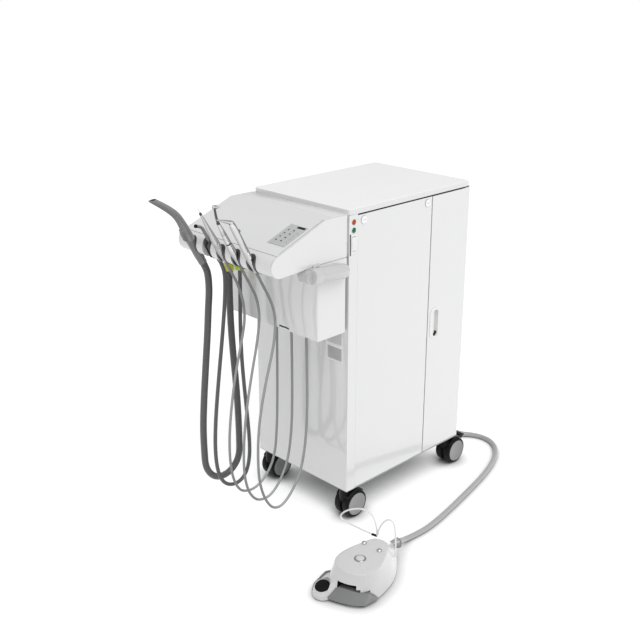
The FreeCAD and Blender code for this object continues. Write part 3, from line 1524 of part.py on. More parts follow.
def foot_housing():
    """The domed housing, hollowed over the pedal, with a button well and two fixed knobs."""
    low = s.foot_plate
    body = prism("dome", "XY", scaled(HOUSING_OUTLINE), low, s.foot_top - low)
    rounded(body, along(Z_AXIS), s.foot_corner)
    rounded(body, at_height(s.foot_top), s.foot_edge)
    tail = prism("tail_room", "XZ", [(s.tail_back, s.tail_top), (s.tail_back, s.tail_low),
                                     (s.tail_step, s.tail_low), (s.tail_break, s.tail_break_height),
                                     (s.tail_break, s.tail_top)], s.gland_tip, -s.gland_tip * 2)
    room = box("pedal_room", (s.pedal_rear, s.pedal_front * 2), (s.pedal_right * 2, s.pedal_left * 2),
               (low, s.pedal_top + s.pedal_slot))
    well = cylinder("top_well", "Z", (s.top_button_x, s.top_button_y, s.foot_top - s.top_button_length),
                    s.top_button_radius + s.running_gap, s.top_button_length)
    hole = cylinder("gland_hole", "X", (s.gland_tip, s.gland_y, s.gland_z), s.gland_radius, s.gland_length)
    solid = cut("dome_cut", body, tail, room, well, hole)
    knobs = []
    for name, x, y in (("left", s.left_knob_x, s.left_knob_y), ("right", s.right_knob_x, s.right_knob_y)):
        knobs.append(cylinder(f"knob_{name}", "Z", (x, y, s.foot_top - s.metal), s.knob_radius,
                              s.knob_rise + s.metal))
    return on_floor(fuse("foot_housing", solid, *knobs))


def foot_gland():
    """The strain relief of the foot control's hose."""
    gland = cylinder("gland_body", "X", (s.gland_tip, s.gland_y, s.gland_z), s.gland_radius, s.gland_length)
    return on_floor(group("foot_gland", gland))


def foot_pedal():
    """The sloped pedal below the slot of the housing, on the pin of the floor plate."""
    low = s.foot_plate + s.pedal_lift
    outline = [(s.pedal_rear + s.metal, low), (s.pedal_front, low), (s.pedal_front, low + s.metal),
               (s.pedal_crest, s.pedal_top), (s.pedal_rear + s.metal, s.pedal_top)]
    body = prism("pedal_blank", "XZ", outline, s.pedal_right, s.pedal_left - s.pedal_right)
    bore = cylinder("pedal_bore", "Y", (s.pedal_pivot_x, s.pedal_right, s.pedal_pivot_z),
                    s.pedal_pin + s.fit_gap, s.pedal_left - s.pedal_right)
    return on_floor(cut("foot_pedal", body, bore))


def foot_button():
    depth = s.top_button_length - s.button_travel - s.metal
    press = cylinder("top_press", "Z", (s.top_button_x, s.top_button_y, s.foot_top - depth),
                     s.top_button_radius, depth + s.top_button_rise)
    return on_floor(group("foot_button", press))


def foot_toe_button():
    """The dark disc beside the pedal and its plunger."""
    low = s.toe_boss_top + s.button_travel + s.running_gap
    disc = cylinder("toe_disc_body", "Z", (s.toe_x, s.toe_y, low), s.toe_radius, s.toe_disc)
    plunger = cylinder("toe_plunger_rod", "Z", (s.toe_x, s.toe_y, low - s.toe_plunger_length), s.toe_plunger,
                       s.toe_plunger_length)
    return on_floor(fuse("foot_toe_button", disc, plunger))


HANDLE_ROUTE = [(-62, -24, 75.2), (-62, -40, 88), (-62, -78, 94), (-62, -110, 99), (-62, -115, 112),
                (-62, -88, 133), (-62, -58, 144), (-62, -33, 139), (-62, -20, 120), (-62, -16, 100),
                (-62, -10, 113), (-62, 1, 130), (-62, 17, 138), (-62, 33, 120), (-62, 41, 88), (-62, 42, 52)]


def foot_handle():
    """The wire bail over the rear of the foot control."""
    return on_floor(rod("foot_handle", scaled(HANDLE_ROUTE), s.handle_wire))


def on_floor_point(x, y, z):
    """Where a point of the foot control's own frame lies in the unit's frame."""
    forward = cosine(s.foot_turn)
    across = sine(s.foot_turn)
    return (s.foot_x + forward * x - across * y, s.foot_y + across * x + forward * y, z)


# ---------------------------------------------------------------- the whole unit
nodes = {}


def publish(thing):
    """Lists a finished sub-part under its own name."""
    nodes[thing.Name] = thing


for make in (base_pan, front_panel, side_panel_left, rear_panel, door_frame, worktop, indicator_lamps,
             switch_bezel, switch_rocker, access_panel, service_door, door_hinges, door_pull, compressor,
             waste_canister, water_bottle, power_supply, console_sides, console_shell, console_floor,
             holder_bar, slot_liners, keypad, hose_box, hose_outlets, grab_bar, return_couplings,
             service_plate, rear_fittings, suction_handpiece, saliva_handpiece, scaler_handpiece,
             drill_handpiece, syringe, syringe_button, foot_base, foot_housing, foot_gland, foot_pedal,
             foot_button, foot_toe_button, foot_handle):
    publish(make())
for lock_name, (lock_y, cam_side) in lock_places.items():
    publish(panel_lock(lock_name, lock_y, cam_side))
for caster_name, side, end in caster_places():
    caster(caster_name, side, end)
for name in instrument_names:
    publish(instrument_hose(name))
publish(hose("foot_hose", [on_floor_point(s.gland_tip, s.gland_y, s.gland_z), *FOOT_HOSE_PATH,
                           (s.outlet_x, back + s.outlet_length, s.outlet_height)], s.foot_hose_radius))
doc.recompute()


def failures():
    """The objects that did not recompute, and the sub-parts without a sound shape."""
    bad = [thing.Name for thing in doc.Objects if "Invalid" in thing.State or "Error" in thing.State]
    for name, thing in nodes.items():
        if thing.Shape.isNull() or not thing.Shape.isValid():
            bad.append(name)
    return bad


def stand_on_origin():
    """Moves every sub-part so that the origin lies below the middle of the unit without its hoses."""
    limits = [thing.Shape.BoundBox for name, thing in nodes.items() if name not in cords]
    stand = doc.addObject("Spreadsheet::Sheet", "stand")
    for row, (axis, low, high) in enumerate((
            ("x", min(b.XMin for b in limits), max(b.XMax for b in limits)),
            ("y", min(b.YMin for b in limits), max(b.YMax for b in limits))), 1):
        stand.set(f"B{row}", str((low + high) / 2))
        stand.setAlias(f"B{row}", f"middle_{axis}")
    stand.recompute()
    for thing in nodes.values():
        for axis, value in zip("xy", places[thing.Name]):
            tie(thing, f"Placement.Base.{axis}", value - Size(f"stand.middle_{axis}", lambda: 0))
    print("origin below", stand.get("middle_x"), stand.get("middle_y"))


cords = ["foot_hose"] + [f"hose_{name}" for name in instrument_names]
if failures():
    raise RuntimeError(f"not built: {failures()}")
stand_on_origin()
doc.recompute()
if failures():
    raise RuntimeError(f"not built: {failures()}")
os.makedirs("parts", exist_ok=True)
for name, thing in nodes.items():
    thing.Shape.exportStep(f"parts/{name}.step")
print(len(nodes), "sub-parts")
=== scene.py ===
# %% [markdown]
# # A portable dental unit, dressed in Blender
# A white steel cabinet stands on four casters. A console across its front holds five instruments, whose hoses
# hang in long loops and go back in under the console, and a foot control lies on the floor on its own hose.
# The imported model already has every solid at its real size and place, so this lesson only gives it its looks:
# it bends the hoses, rounds the moulded pieces, and mixes the paints, plastics, rubbers and metals.
#
# Every length below is in millimetres from the point on the floor under the middle of the cabinet, as on a
# maker's drawing. `here` turns such a place into the scene's metres.

# %% Load the frame
import json
import math
import bpy
import bmesh
from mathutils import Matrix, Vector


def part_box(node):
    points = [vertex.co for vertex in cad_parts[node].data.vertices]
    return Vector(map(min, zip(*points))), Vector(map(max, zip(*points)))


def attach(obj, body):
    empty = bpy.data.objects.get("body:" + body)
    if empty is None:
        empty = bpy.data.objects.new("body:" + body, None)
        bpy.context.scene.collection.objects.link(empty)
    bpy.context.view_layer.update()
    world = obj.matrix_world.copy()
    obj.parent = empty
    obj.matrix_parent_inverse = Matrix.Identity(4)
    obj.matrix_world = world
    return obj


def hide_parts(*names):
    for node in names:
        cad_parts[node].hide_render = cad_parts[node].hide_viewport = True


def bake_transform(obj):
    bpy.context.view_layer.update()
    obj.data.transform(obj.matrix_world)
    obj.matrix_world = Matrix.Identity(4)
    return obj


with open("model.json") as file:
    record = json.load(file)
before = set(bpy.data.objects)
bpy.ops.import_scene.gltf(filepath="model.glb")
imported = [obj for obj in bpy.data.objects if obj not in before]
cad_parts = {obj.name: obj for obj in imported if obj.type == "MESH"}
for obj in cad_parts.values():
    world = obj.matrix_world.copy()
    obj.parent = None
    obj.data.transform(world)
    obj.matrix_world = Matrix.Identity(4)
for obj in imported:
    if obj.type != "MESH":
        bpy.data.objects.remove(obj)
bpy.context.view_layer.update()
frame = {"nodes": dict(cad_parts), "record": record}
MM = 0.001
top_low, top_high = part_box("worktop")
middle = Vector(((top_low.x + top_high.x) / 2, (top_low.y + top_high.y) / 2, 0))


def here(x, y, z):
    """A place on the maker's drawing, in millimetres, as a point of the scene."""
    return Vector((x, y, z)) * MM + middle


print("frame:", len(frame["nodes"]), "nodes; cabinet's middle at", [round(c, 4) for c in middle])

# %% [markdown]
# ## The camera
# The unit is seen from its front right corner and from a little above. A camera could be turned by angles, but
# aiming it at a point is easier to change, so `to_track_quat` turns it until it looks at that point.

# %% Aim the camera
eye = here(1666.2, -1785.9, 1373.8)
looked_at = here(-159.9, 0, 411.8)
lens = bpy.data.cameras.new("camera")
lens.lens = 54.47
lens.sensor_width = 36
lens.clip_end = 100
camera = bpy.data.objects.new("camera", lens)
camera.location = eye
camera.rotation_euler = (looked_at - eye).to_track_quat("-Z", "Y").to_euler()
bpy.context.collection.objects.link(camera)
bpy.context.scene.camera = camera
bpy.context.scene.view_settings.view_transform = "Standard"
print("camera", round((looked_at - eye).length, 3), "m from what it looks at")

# %% [markdown]
# ## The hoses
# A hose is a round rubber tube that hangs under its own weight. It could be made of straight runs and arcs, as
# the solid is, but then it looks like bent wire. A NURBS spline draws one smooth line near its control points, so
# the same points give a hose that hangs. `order_u` and `use_endpoint_u` are set after the points are added,
# because set before, they leave the spline at order 2, which is straight runs.
#
# Each hose is built as a mesh.
# Blender evaluates the spline into a row of points, and a tube is built on them: one ring of a small circle at
# each point, turned with the line, and each ring bridged to the next.

# %% Draw the line of a hose
def smooth_line(points, steps=10):
    """The points that a NURBS spline of order 3 runs through, read back from Blender."""
    curve = bpy.data.curves.new("line", "CURVE")
    curve.dimensions = "3D"
    curve.resolution_u = steps
    spline = curve.splines.new("NURBS")
    spline.points.add(len(points) - 1)
    for control, point in zip(spline.points, points):
        control.co = (*here(*point), 1)
    spline.order_u = 3
    spline.use_endpoint_u = True
    holder = bpy.data.objects.new("line", curve)
    drawn = bpy.data.meshes.new_from_object(holder)
    line = [v.co.copy() for v in drawn.vertices]
    bpy.data.objects.remove(holder)
    bpy.data.curves.remove(curve)
    bpy.data.meshes.remove(drawn)
    return line


def length_of(line):
    return sum((b - a).length for a, b in zip(line, line[1:]))


# %% Build a tube along a line
def tube_on(line, radius_at, sides=20):
    """A bmesh tube along the line, closed at both ends. radius_at gives its radius for a share of its length."""
    bm = bmesh.new()
    rings = []
    across = Vector((1, 0, 0))
    whole = length_of(line)
    run = 0
    for i, point in enumerate(line):
        ahead = (line[min(i + 1, len(line) - 1)] - line[max(i - 1, 0)]).normalized()
        across = (across - ahead * across.dot(ahead)).normalized()
        run += (point - line[i - 1]).length if i else 0
        turn = Matrix((across, ahead.cross(across), ahead)).transposed().to_4x4()
        made = bmesh.ops.create_circle(bm, segments=sides, radius=radius_at(run / whole),
                                       matrix=Matrix.Translation(point) @ turn)
        ring = made["verts"]
        if rings:
            edges = [e for r in (rings[-1], ring) for e in {e for v in r for e in v.link_edges}
                     if e.verts[0] in r and e.verts[1] in r]
            bmesh.ops.bridge_loops(bm, edges=edges)
        rings.append(ring)
    for ring in (rings[0], rings[-1]):
        bmesh.ops.contextual_create(bm, geom=ring)
    bmesh.ops.recalc_face_normals(bm, faces=bm.faces)
    return bm


def piece_from(bm, name, smooth=True, sharp=35):
    """A finished bmesh as an object of the scene, smooth but for edges sharper than the given degrees."""
    mesh = bpy.data.meshes.new(name)
    if smooth:
        for face in bm.faces:
            face.smooth = True
        for edge in bm.edges:
            if len(edge.link_faces) == 2 and edge.calc_face_angle(0) > math.radians(sharp):
                edge.smooth = False
    bm.to_mesh(mesh)
    bm.free()
    piece = bpy.data.objects.new(name, mesh)
    bpy.context.collection.objects.link(piece)
    return piece


# %% [markdown]
# ## Five instrument hoses
# Each route starts just under its instrument, on the axis of the tilted slot, hangs to the bottom of its loop and
# climbs to its coupling. The suction hoses end at couplings below the console, the slim ones in the hose box.

# %% Hang the instrument hoses
TILT_DEGREES = 28
TILT = math.radians(TILT_DEGREES)
SLOTS = {"suction": (-114, -463), "saliva": (-61, -446), "scaler": (-8, -463), "drill": (45, -463),
         "syringe": (98, -463)}
SEAT_HEIGHT = 736
BOTTOMS = {"suction": -55.6, "saliva": -41.7, "scaler": -23, "drill": -16.7, "syringe": -24}
LEADS = {"suction": 13, "saliva": 24, "scaler": 30, "drill": 30, "syringe": 30}
HOSE_RADII = {"suction": 8.7, "saliva": 4.8, "scaler": 3.2, "drill": 3.2, "syringe": 3.2}
HANGING = {
    "suction": [(-114, -423, 656), (-114, -421, 614), (-114, -427, 562), (-114, -432, 505), (-114, -443, 412),
                (-114, -452, 333), (-114, -459, 255), (-114, -459, 190), (-114, -457, 134), (-113.5, -426, 95),
                (-112, -381, 94), (-110.5, -347, 128), (-110, -346, 190), (-110, -347, 255), (-110, -350, 335),
                (-110, -358, 437), (-110, -362.5, 539), (-110, -362, 640)],
    "saliva": [(-61, -413, 640), (-61, -418, 582), (-61, -430, 495), (-61, -445, 398), (-61, -459, 296),
               (-61, -465, 212), (-61, -459, 144), (-61, -437, 102), (-61, -398, 88), (-61, -366, 106),
               (-61, -353, 150), (-61, -352, 200), (-61, -356, 258), (-61, -364, 350), (-61, -370, 440),
               (-61, -371, 530), (-61, -368, 606), (-61, -367, 668)],
    "scaler": [(-8.5, -419, 656), (-9, -403, 611), (-9, -398, 558), (-9, -412, 503), (-9, -434, 424),
               (-9, -451, 335), (-9, -461, 246), (-9, -457, 165), (-9, -440, 117), (-9, -418, 95),
               (-9, -378, 90), (-9, -338, 115), (-8, -312, 161), (-8, -303, 245), (-8, -300, 335),
               (-8, -298.5, 430), (-8, -298, 519.5)],
    "drill": [(44, -424, 664), (43, -404, 628), (41.5, -395, 580), (41, -404, 518), (41, -424, 440),
              (41, -445, 345), (41, -456, 255), (41, -457, 183), (41, -447, 133), (41, -429, 103),
              (41, -409, 88), (42, -375, 86), (43, -341, 116), (44, -312, 171), (45, -300, 262),
              (45, -297.5, 352), (45, -297, 438), (45, -298, 519.5)],
    "syringe": [(96, -417, 653), (94, -398, 616), (92, -390, 570), (92, -399, 514), (92, -422, 443),
                (92, -444, 358), (92, -454, 280), (92, -454, 197), (92, -444, 147), (92, -426, 107),
                (93, -406, 86), (94, -379, 84), (95, -346, 112), (97, -315, 166), (98, -300, 253),
                (98, -296, 345), (98, -297, 435), (98, -298, 519.5)],
}
KINDS = {"suction": "suction", "saliva": "suction", "scaler": "slim", "drill": "slim", "syringe": "slim"}
HOSE_GAP = 0.3


def on_slot(name, along):
    """The place on a slot's tilted axis that lies this far along it from the seat."""
    x, y = SLOTS[name]
    return (x, y - math.sin(TILT) * along, SEAT_HEIGHT + math.cos(TILT) * along)


hoses = {}
for name, hanging in HANGING.items():
    start = BOTTOMS[name] - HOSE_GAP
    line = smooth_line([on_slot(name, start), on_slot(name, start - LEADS[name]), *hanging])
    thickness = HOSE_RADII[name] * MM
    hose = piece_from(tube_on(line, lambda share: thickness, 32 if name == "suction" else 20),
                      f"hose_{name}_tube")
    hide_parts(f"hose_{name}")
    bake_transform(hose)
    hoses[name] = hose

# %% [markdown]
# ## The hose of the foot control
# This hose leaves the control backwards, lies on the floor in one wide curve round the cabinet and climbs to its
# outlet in the rear panel. Both its ends belong to the same body, so nothing in it bends.

# %% Lay the foot control's hose
FOOT_HOSE_RADIUS = 6.5
FOOT_PLACE = (381, -365)
FOOT_TURN_DEGREES = -75.8
FOOT_TURN = math.radians(FOOT_TURN_DEGREES)


def on_foot(x, y, z):
    """A place of the foot control, whose own x runs forwards, as a place on the drawing."""
    return (FOOT_PLACE[0] + math.cos(FOOT_TURN) * x - math.sin(FOOT_TURN) * y,
            FOOT_PLACE[1] + math.sin(FOOT_TURN) * x + math.cos(FOOT_TURN) * y, z)


LYING = [on_foot(-132, 2, 30), (346, -216, 25), (338, -197, 14), (334, -175, 7.4), (337, -145, 6.6),
         (338, -100, 6.7), (330, -40, 6.6), (315, 40, 6.6), (297, 125, 6.6), (274, 225, 6.6), (241, 318, 6.6),
         (207, 370, 6.6), (172, 396, 6.6), (138, 402, 6.6), (104, 392, 6.6), (75, 366, 9), (53, 340, 26),
         (40, 326, 56), (33, 306, 88), (30, 280, 113), (30, 239.5, 128)]
foot_line = smooth_line(LYING, 12)
foot_hose = piece_from(tube_on(foot_line, lambda share: FOOT_HOSE_RADIUS * MM, 28), "foot_hose_line")
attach(foot_hose, "cabinet")
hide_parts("foot_hose")
print("foot hose laid through", len(LYING), "points")

# %% [markdown]
# ## Wiring
# The sky, the floor and every finish are trees of shader nodes. They could be wired link by link, but `wire` adds
# a node and plugs all its inputs in one call, so that a tree reads from the inside out, like a formula.

# %% Wire shader nodes
def plug(tree, node, **plugs):
    """Plugs sockets or values into a node's inputs: by name with _ for a space, or by place as i0, i1."""
    for key, value in plugs.items():
        by_place = key[0] == "i" and key[1:].isdigit()
        socket = node.inputs[int(key[1:]) if by_place else key.replace("_", " ")]
        if isinstance(value, bpy.types.NodeSocket):
            tree.links.new(value, socket)
        else:
            socket.default_value = value
    return node


def wire(tree, kind, settings=None, **plugs):
    """Adds a node with these settings and plugs its inputs."""
    node = tree.nodes.new(kind)
    for key, value in (settings or {}).items():
        setattr(node, key, value)
    return plug(tree, node, **plugs)


def maths(tree, operation, *terms, clamp=False):
    """The result of a Math node on sockets or numbers."""
    node = wire(tree, "ShaderNodeMath", {"operation": operation, "use_clamp": clamp},
                **{f"i{place}": term for place, term in enumerate(terms)})
    return node.outputs[0]


def mixed(tree, share, first, second):
    """The result of mixing two colours, all of the first at share 0."""
    return wire(tree, "ShaderNodeMix", {"data_type": "RGBA"}, i0=share, i6=first, i7=second).outputs[2]


def grey(tone):
    return (tone, tone, tone, 1)


print("node helpers: plug, wire, maths, mixed and grey")

# %% [markdown]
# ## Light and floor
# The unit stands in a plain white studio. A sun lamp with a wide angle gives one soft key from the right, and a
# pale world fills the shadows. Lamps that fall off with distance would leave a grey horizon, and these don't.
#
# The floor is grey to the camera and takes the shadow, plus some light of its own that only the camera, gloss
# and glass see. That light grows with the share of open sky above each place, once within 200 mm for the wide
# shade under the cabinet and once within 45 mm for the thin dark line where something stands. So open floor is
# white, and covered floor stays dark. Other rays meet a paler floor, which throws its light up on the sides.

# %% Light the studio
SOFT_SKY = 0.68
SUN_TOWARDS, SUN_STRENGTH, SUN_ANGLE = (-0.60, 0.14, -0.79), 1.22, 36
world = bpy.data.worlds.new("studio")
bpy.context.scene.world = world
world.use_nodes = True
sky = world.node_tree
sky.nodes.clear()
soft_sky, white_sky = [wire(sky, "ShaderNodeBackground", Color=grey(1), Strength=strength)
                       for strength in (SOFT_SKY, 1)]
chosen_sky = wire(sky, "ShaderNodeMixShader", i0=wire(sky, "ShaderNodeLightPath").outputs["Is Camera Ray"],
                  i1=soft_sky.outputs[0], i2=white_sky.outputs[0])
wire(sky, "ShaderNodeOutputWorld", Surface=chosen_sky.outputs[0])
lamp = bpy.data.lights.new("key", "SUN")
lamp.energy = SUN_STRENGTH
lamp.angle = math.radians(SUN_ANGLE)
key = bpy.data.objects.new("key", lamp)
key.rotation_euler = Vector(SUN_TOWARDS).to_track_quat("-Z", "Y").to_euler()
bpy.context.collection.objects.link(key)
print("key and sky set")

# %% Lay the floor
bm = bmesh.new()
bmesh.ops.create_circle(bm, cap_ends=True, segments=96, radius=30)
floor = piece_from(bm, "floor", smooth=False)
floor_paint = bpy.data.materials.new("floor")
floor_paint.use_nodes = True
paint = floor_paint.node_tree
paint.nodes.clear()


def open_share(distance, none_at, full_at, full=1.0):
    """How open the sky is above each place, from 0 where this share of it is seen up to full."""
    seen_sky = wire(paint, "ShaderNodeAmbientOcclusion", Distance=distance)
    return wire(paint, "ShaderNodeMapRange", Value=seen_sky.outputs["AO"], From_Min=none_at, From_Max=full_at,
                To_Max=full).outputs[0]


FLOOR_TO_CAMERA, FLOOR_TO_OTHERS = grey(0.42), grey(0.92)
ray = wire(paint, "ShaderNodeLightPath").outputs
matt = wire(paint, "ShaderNodeBsdfDiffuse",
            Color=mixed(paint, ray["Is Camera Ray"], FLOOR_TO_OTHERS, FLOOR_TO_CAMERA))
wide_shade = open_share(distance=0.2, none_at=0.2, full_at=0.56)
thin_line = open_share(distance=0.045, none_at=0.35, full_at=0.97, full=0.72)
glow = maths(paint, "MULTIPLY", wide_shade, thin_line)
seen = maths(paint, "MAXIMUM", ray["Is Camera Ray"], ray["Is Glossy Ray"])
seen = maths(paint, "MAXIMUM", seen, ray["Is Transmission Ray"])
own_light = wire(paint, "ShaderNodeEmission", Strength=maths(paint, "MULTIPLY", seen, glow))
both = wire(paint, "ShaderNodeAddShader", i0=matt.outputs[0], i1=own_light.outputs[0])
wire(paint, "ShaderNodeOutputMaterial", Surface=both.outputs[0])
floor.data.materials.append(floor_paint)
print("floor laid")

# %% [markdown]
# ## Finishes
# A finish is never one flat colour. Paint has a faint orange peel and wipes unevenly, moulded plastic has a fine
# spark-eroded grain, rubber is dusty. Those effects come back in many materials, so each is a node group with
# named inputs, built once. The groups read Object coordinates, which are metres on the piece itself, so a grain
# has the same size on every piece and stays put when the piece moves.

# %% Make the shared finish groups
def new_group(name, inputs, outputs):
    """A shader node group with named sockets. inputs are (name, default), outputs are (name, kind)."""
    group = bpy.data.node_groups.new(name, "ShaderNodeTree")
    for title, default in inputs:
        socket = group.interface.new_socket(title, in_out="INPUT", socket_type="NodeSocketFloat")
        socket.default_value = default
    for title, kind in outputs:
        group.interface.new_socket(title, in_out="OUTPUT", socket_type=kind)
    return group, group.nodes.new("NodeGroupInput"), group.nodes.new("NodeGroupOutput")


# "handled": broad uneven gloss from wiping, and a fine grain to bump
UNEVEN_GAIN = 4.0
handled, given, result = new_group(
    "handled_surface",
    [("Roughness", 0.4), ("Unevenness", 0.05), ("Patch Size", 0.06), ("Grain Size", 0.0008), ("Grain", 0.5)],
    [("Roughness", "NodeSocketFloat"), ("Height", "NodeSocketFloat"), ("Patch", "NodeSocketFloat")])
given = given.outputs
where = wire(handled, "ShaderNodeTexCoord").outputs["Object"]
patches = wire(handled, "ShaderNodeTexNoise", Vector=where,
               Scale=maths(handled, "DIVIDE", 1.0, given["Patch Size"]), Detail=3.0, Roughness=0.6).outputs[0]
grain = wire(handled, "ShaderNodeTexNoise", Vector=where,
             Scale=maths(handled, "DIVIDE", 1.0, given["Grain Size"]), Detail=2.0).outputs[0]
spread = maths(handled, "MULTIPLY", maths(handled, "SUBTRACT", patches, 0.5), given["Unevenness"])
rough = maths(handled, "ADD", given["Roughness"], maths(handled, "MULTIPLY", spread, UNEVEN_GAIN), clamp=True)
plug(handled, result, Roughness=rough, Height=maths(handled, "MULTIPLY", grain, given["Grain"]), Patch=patches)

# "edge_mask": where a rounded copy of the normal leaves the real one, which is along edges
EDGE_GAIN = 6.0
edge_mask, given, result = new_group("edge_mask", [("Width", 0.0012), ("Breakup", 0.4)],
                                     [("Edge", "NodeSocketFloat")])
given = given.outputs
where = wire(edge_mask, "ShaderNodeTexCoord").outputs["Object"]
rounded = wire(edge_mask, "ShaderNodeBevel", {"samples": 6}, Radius=given["Width"])
plain = wire(edge_mask, "ShaderNodeNewGeometry").outputs["Normal"]
same = wire(edge_mask, "ShaderNodeVectorMath", {"operation": "DOT_PRODUCT"}, i0=rounded.outputs[0], i1=plain)
apart = maths(edge_mask, "SUBTRACT", 1.0, same.outputs["Value"], clamp=True)
strong = maths(edge_mask, "MULTIPLY", apart, EDGE_GAIN, clamp=True)
breaks = wire(edge_mask, "ShaderNodeTexNoise", Vector=where, Scale=180.0, Detail=3.0).outputs[0]
broken = wire(edge_mask, "ShaderNodeMapRange", Value=breaks, From_Min=0.35, From_Max=0.65).outputs[0]
share = wire(edge_mask, "ShaderNodeMix", {"data_type": "FLOAT"}, i0=given["Breakup"], i2=1.0,
             i3=broken).outputs[0]
plug(edge_mask, result, Edge=maths(edge_mask, "MULTIPLY", strong, share))
print("groups:", handled.name, edge_mask.name)


# %% [markdown]
# One maker of materials then serves every piece. It mixes two shades of the colour by the uneven patches, brings
# a second tone in along edges, and sends the grain to a Bump node. Numbers that are the same all over, such as
# coat or index, are set on the shader's own sockets.

# %% Make a finish
FINISHES = {}
BUMP_DEPTH = 0.0004


def shade(colour, by):
    return (*[min(1.0, c * by) for c in colour[:3]], 1)


def finish_of(name, colour, roughness, uneven=0.04, patch=0.06, grain_size=0.0008, grain=0.4, bump=0.12,
              metal=0.0, coat=0.0, coat_rough=0.1, tone=0.03, edge_tone=None, edge_share=0.5, edge_width=0.001,
              sheen=0.0, ior=1.5, see_through=0.0, painted_rim_shade=0.0, painted_top_light=0.0):
    """Puts a procedural finish on Object coordinates into FINISHES. Its last two settings paint shade where the
    surface turns away from the eye, and paint light on faces that look up and shade on faces that look down."""
    material = bpy.data.materials.new(name)
    material.use_nodes = True
    tree = material.node_tree
    shader = tree.nodes["Principled BSDF"]
    surface = wire(tree, "ShaderNodeGroup", {"node_tree": handled}, Roughness=roughness, Unevenness=uneven,
                   Patch_Size=patch, Grain_Size=grain_size, Grain=grain)
    colour_out = mixed(tree, surface.outputs["Patch"], shade(colour, 1 - tone), shade(colour, 1 + tone))
    if edge_tone is not None:
        mask = wire(tree, "ShaderNodeGroup", {"node_tree": edge_mask}, Width=edge_width)
        edge_blend = maths(tree, "MULTIPLY", mask.outputs["Edge"], edge_share)
        colour_out = mixed(tree, edge_blend, colour_out, shade(edge_tone, 1))
    # painted light and shade: faces that look up are made paler and faces that look down darker
    if painted_top_light:
        facing = wire(tree, "ShaderNodeTexCoord").outputs["Normal"]
        rise = wire(tree, "ShaderNodeSeparateXYZ", Vector=facing).outputs["Z"]
        colour_out = wire(tree, "ShaderNodeVectorMath", {"operation": "SCALE"}, i0=colour_out,
                          Scale=maths(tree, "MULTIPLY_ADD", rise, painted_top_light, 1.0)).outputs[0]
    # painted shade: the colour darkens where the surface turns away from the eye
    if painted_rim_shade:
        painted_rim_share = wire(tree, "ShaderNodeLayerWeight", Blend=0.5).outputs["Facing"]
        colour_out = mixed(tree, maths(tree, "MULTIPLY", painted_rim_share, painted_rim_shade), colour_out, shade(colour, 0.08))
    relief = wire(tree, "ShaderNodeBump", Strength=bump, Distance=BUMP_DEPTH, Height=surface.outputs["Height"])
    plug(tree, shader, Base_Color=colour_out, Roughness=surface.outputs["Roughness"],
         Normal=relief.outputs["Normal"], Metallic=metal, Coat_Weight=coat, Coat_Roughness=coat_rough, IOR=ior,
         Sheen_Weight=sheen, Transmission_Weight=see_through)
    FINISHES[name] = material


# %% Mix the finishes of the slots
finish_of("white_paint", (0.74, 0.74, 0.745), 0.24, 0.02, 0.16, 0.0022, 0.5, 0.10, coat=0.8, coat_rough=0.03,
          tone=0.006, edge_tone=grey(0.9), edge_share=0.5)
finish_of("pan_paint", (0.42, 0.43, 0.44), 0.42, 0.05, 0.09, 0.0016, 0.5, 0.2)
finish_of("worktop", grey(0.925), 0.32, 0.03, 0.12, 0.0009, 0.5, 0.10, tone=0.008, coat=0.15, coat_rough=0.2)
finish_of("holder", grey(0.73), 0.36, 0.03, 0.05, 0.0007, 0.5, 0.14, tone=0.01, edge_tone=grey(0.88))
finish_of("liner", (0.045, 0.045, 0.048), 0.55, 0.06, 0.02, 0.0005, 0.6, 0.22, tone=0.12, edge_tone=grey(0.16),
          sheen=0.05)
finish_of("keypad", (0.50, 0.505, 0.51), 0.38, 0.03, 0.03, 0.0004, 0.5, 0.2, tone=0.01, coat=0.1)
finish_of("lamps", grey(0.7), 0.25, coat=0.4)
finish_of("black_plastic", (0.022, 0.022, 0.024), 0.36, 0.05, 0.02, 0.0004, 0.5, 0.25, tone=0.15,
          edge_tone=grey(0.1))
finish_of("lock_metal", (0.60, 0.60, 0.61), 0.16, 0.04, 0.01, 0.0006, 0.3, 0.06, metal=1.0, edge_tone=grey(0.3),
          edge_share=0.9, edge_width=0.0014)
finish_of("steel", (0.56, 0.56, 0.57), 0.34, 0.06, 0.02, 0.0005, 0.5, 0.1, metal=1.0,
          edge_tone=(0.75, 0.75, 0.76))
finish_of("pull", (0.80, 0.80, 0.79), 0.28, 0.03, 0.03, 0.0006, 0.4, 0.12, coat=0.2, tone=0.01)
finish_of("pump", (0.09, 0.12, 0.15), 0.45, 0.08, 0.03, 0.0012, 0.7, 0.35, tone=0.15, edge_tone=(0.3, 0.32, 0.34))
finish_of("canister", (0.66, 0.72, 0.76), 0.22, 0.04, 0.05, 0.0009, 0.4, 0.08, see_through=0.55, coat=0.2)
finish_of("supply", (0.10, 0.105, 0.11), 0.48, 0.06, 0.04, 0.001, 0.6, 0.3, tone=0.1,
          edge_tone=(0.25, 0.25, 0.26))
finish_of("bar", (0.58, 0.58, 0.585), 0.2, 0.02, 0.06, 0.0008, 0.4, 0.08, coat=0.4, coat_rough=0.05, tone=0.008)
finish_of("coupling", (0.62, 0.60, 0.05), 0.28, 0.04, 0.01, 0.0006, 0.4, 0.12, coat=0.2, tone=0.06)
finish_of("service_plate", (0.84, 0.84, 0.845), 0.32, 0.03, 0.04, 0.0007, 0.4, 0.1, tone=0.01)
finish_of("instrument_plastic", (0.36, 0.38, 0.40), 0.34, 0.05, 0.02, 0.0005, 0.5, 0.18, tone=0.05)
finish_of("instrument_metal", (0.66, 0.66, 0.67), 0.22, 0.06, 0.015, 0.0005, 0.5, 0.08, metal=1.0,
          edge_tone=(0.85, 0.85, 0.86))
finish_of("button_green", (0.05, 0.27, 0.16), 0.3, coat=0.3, tone=0.05)
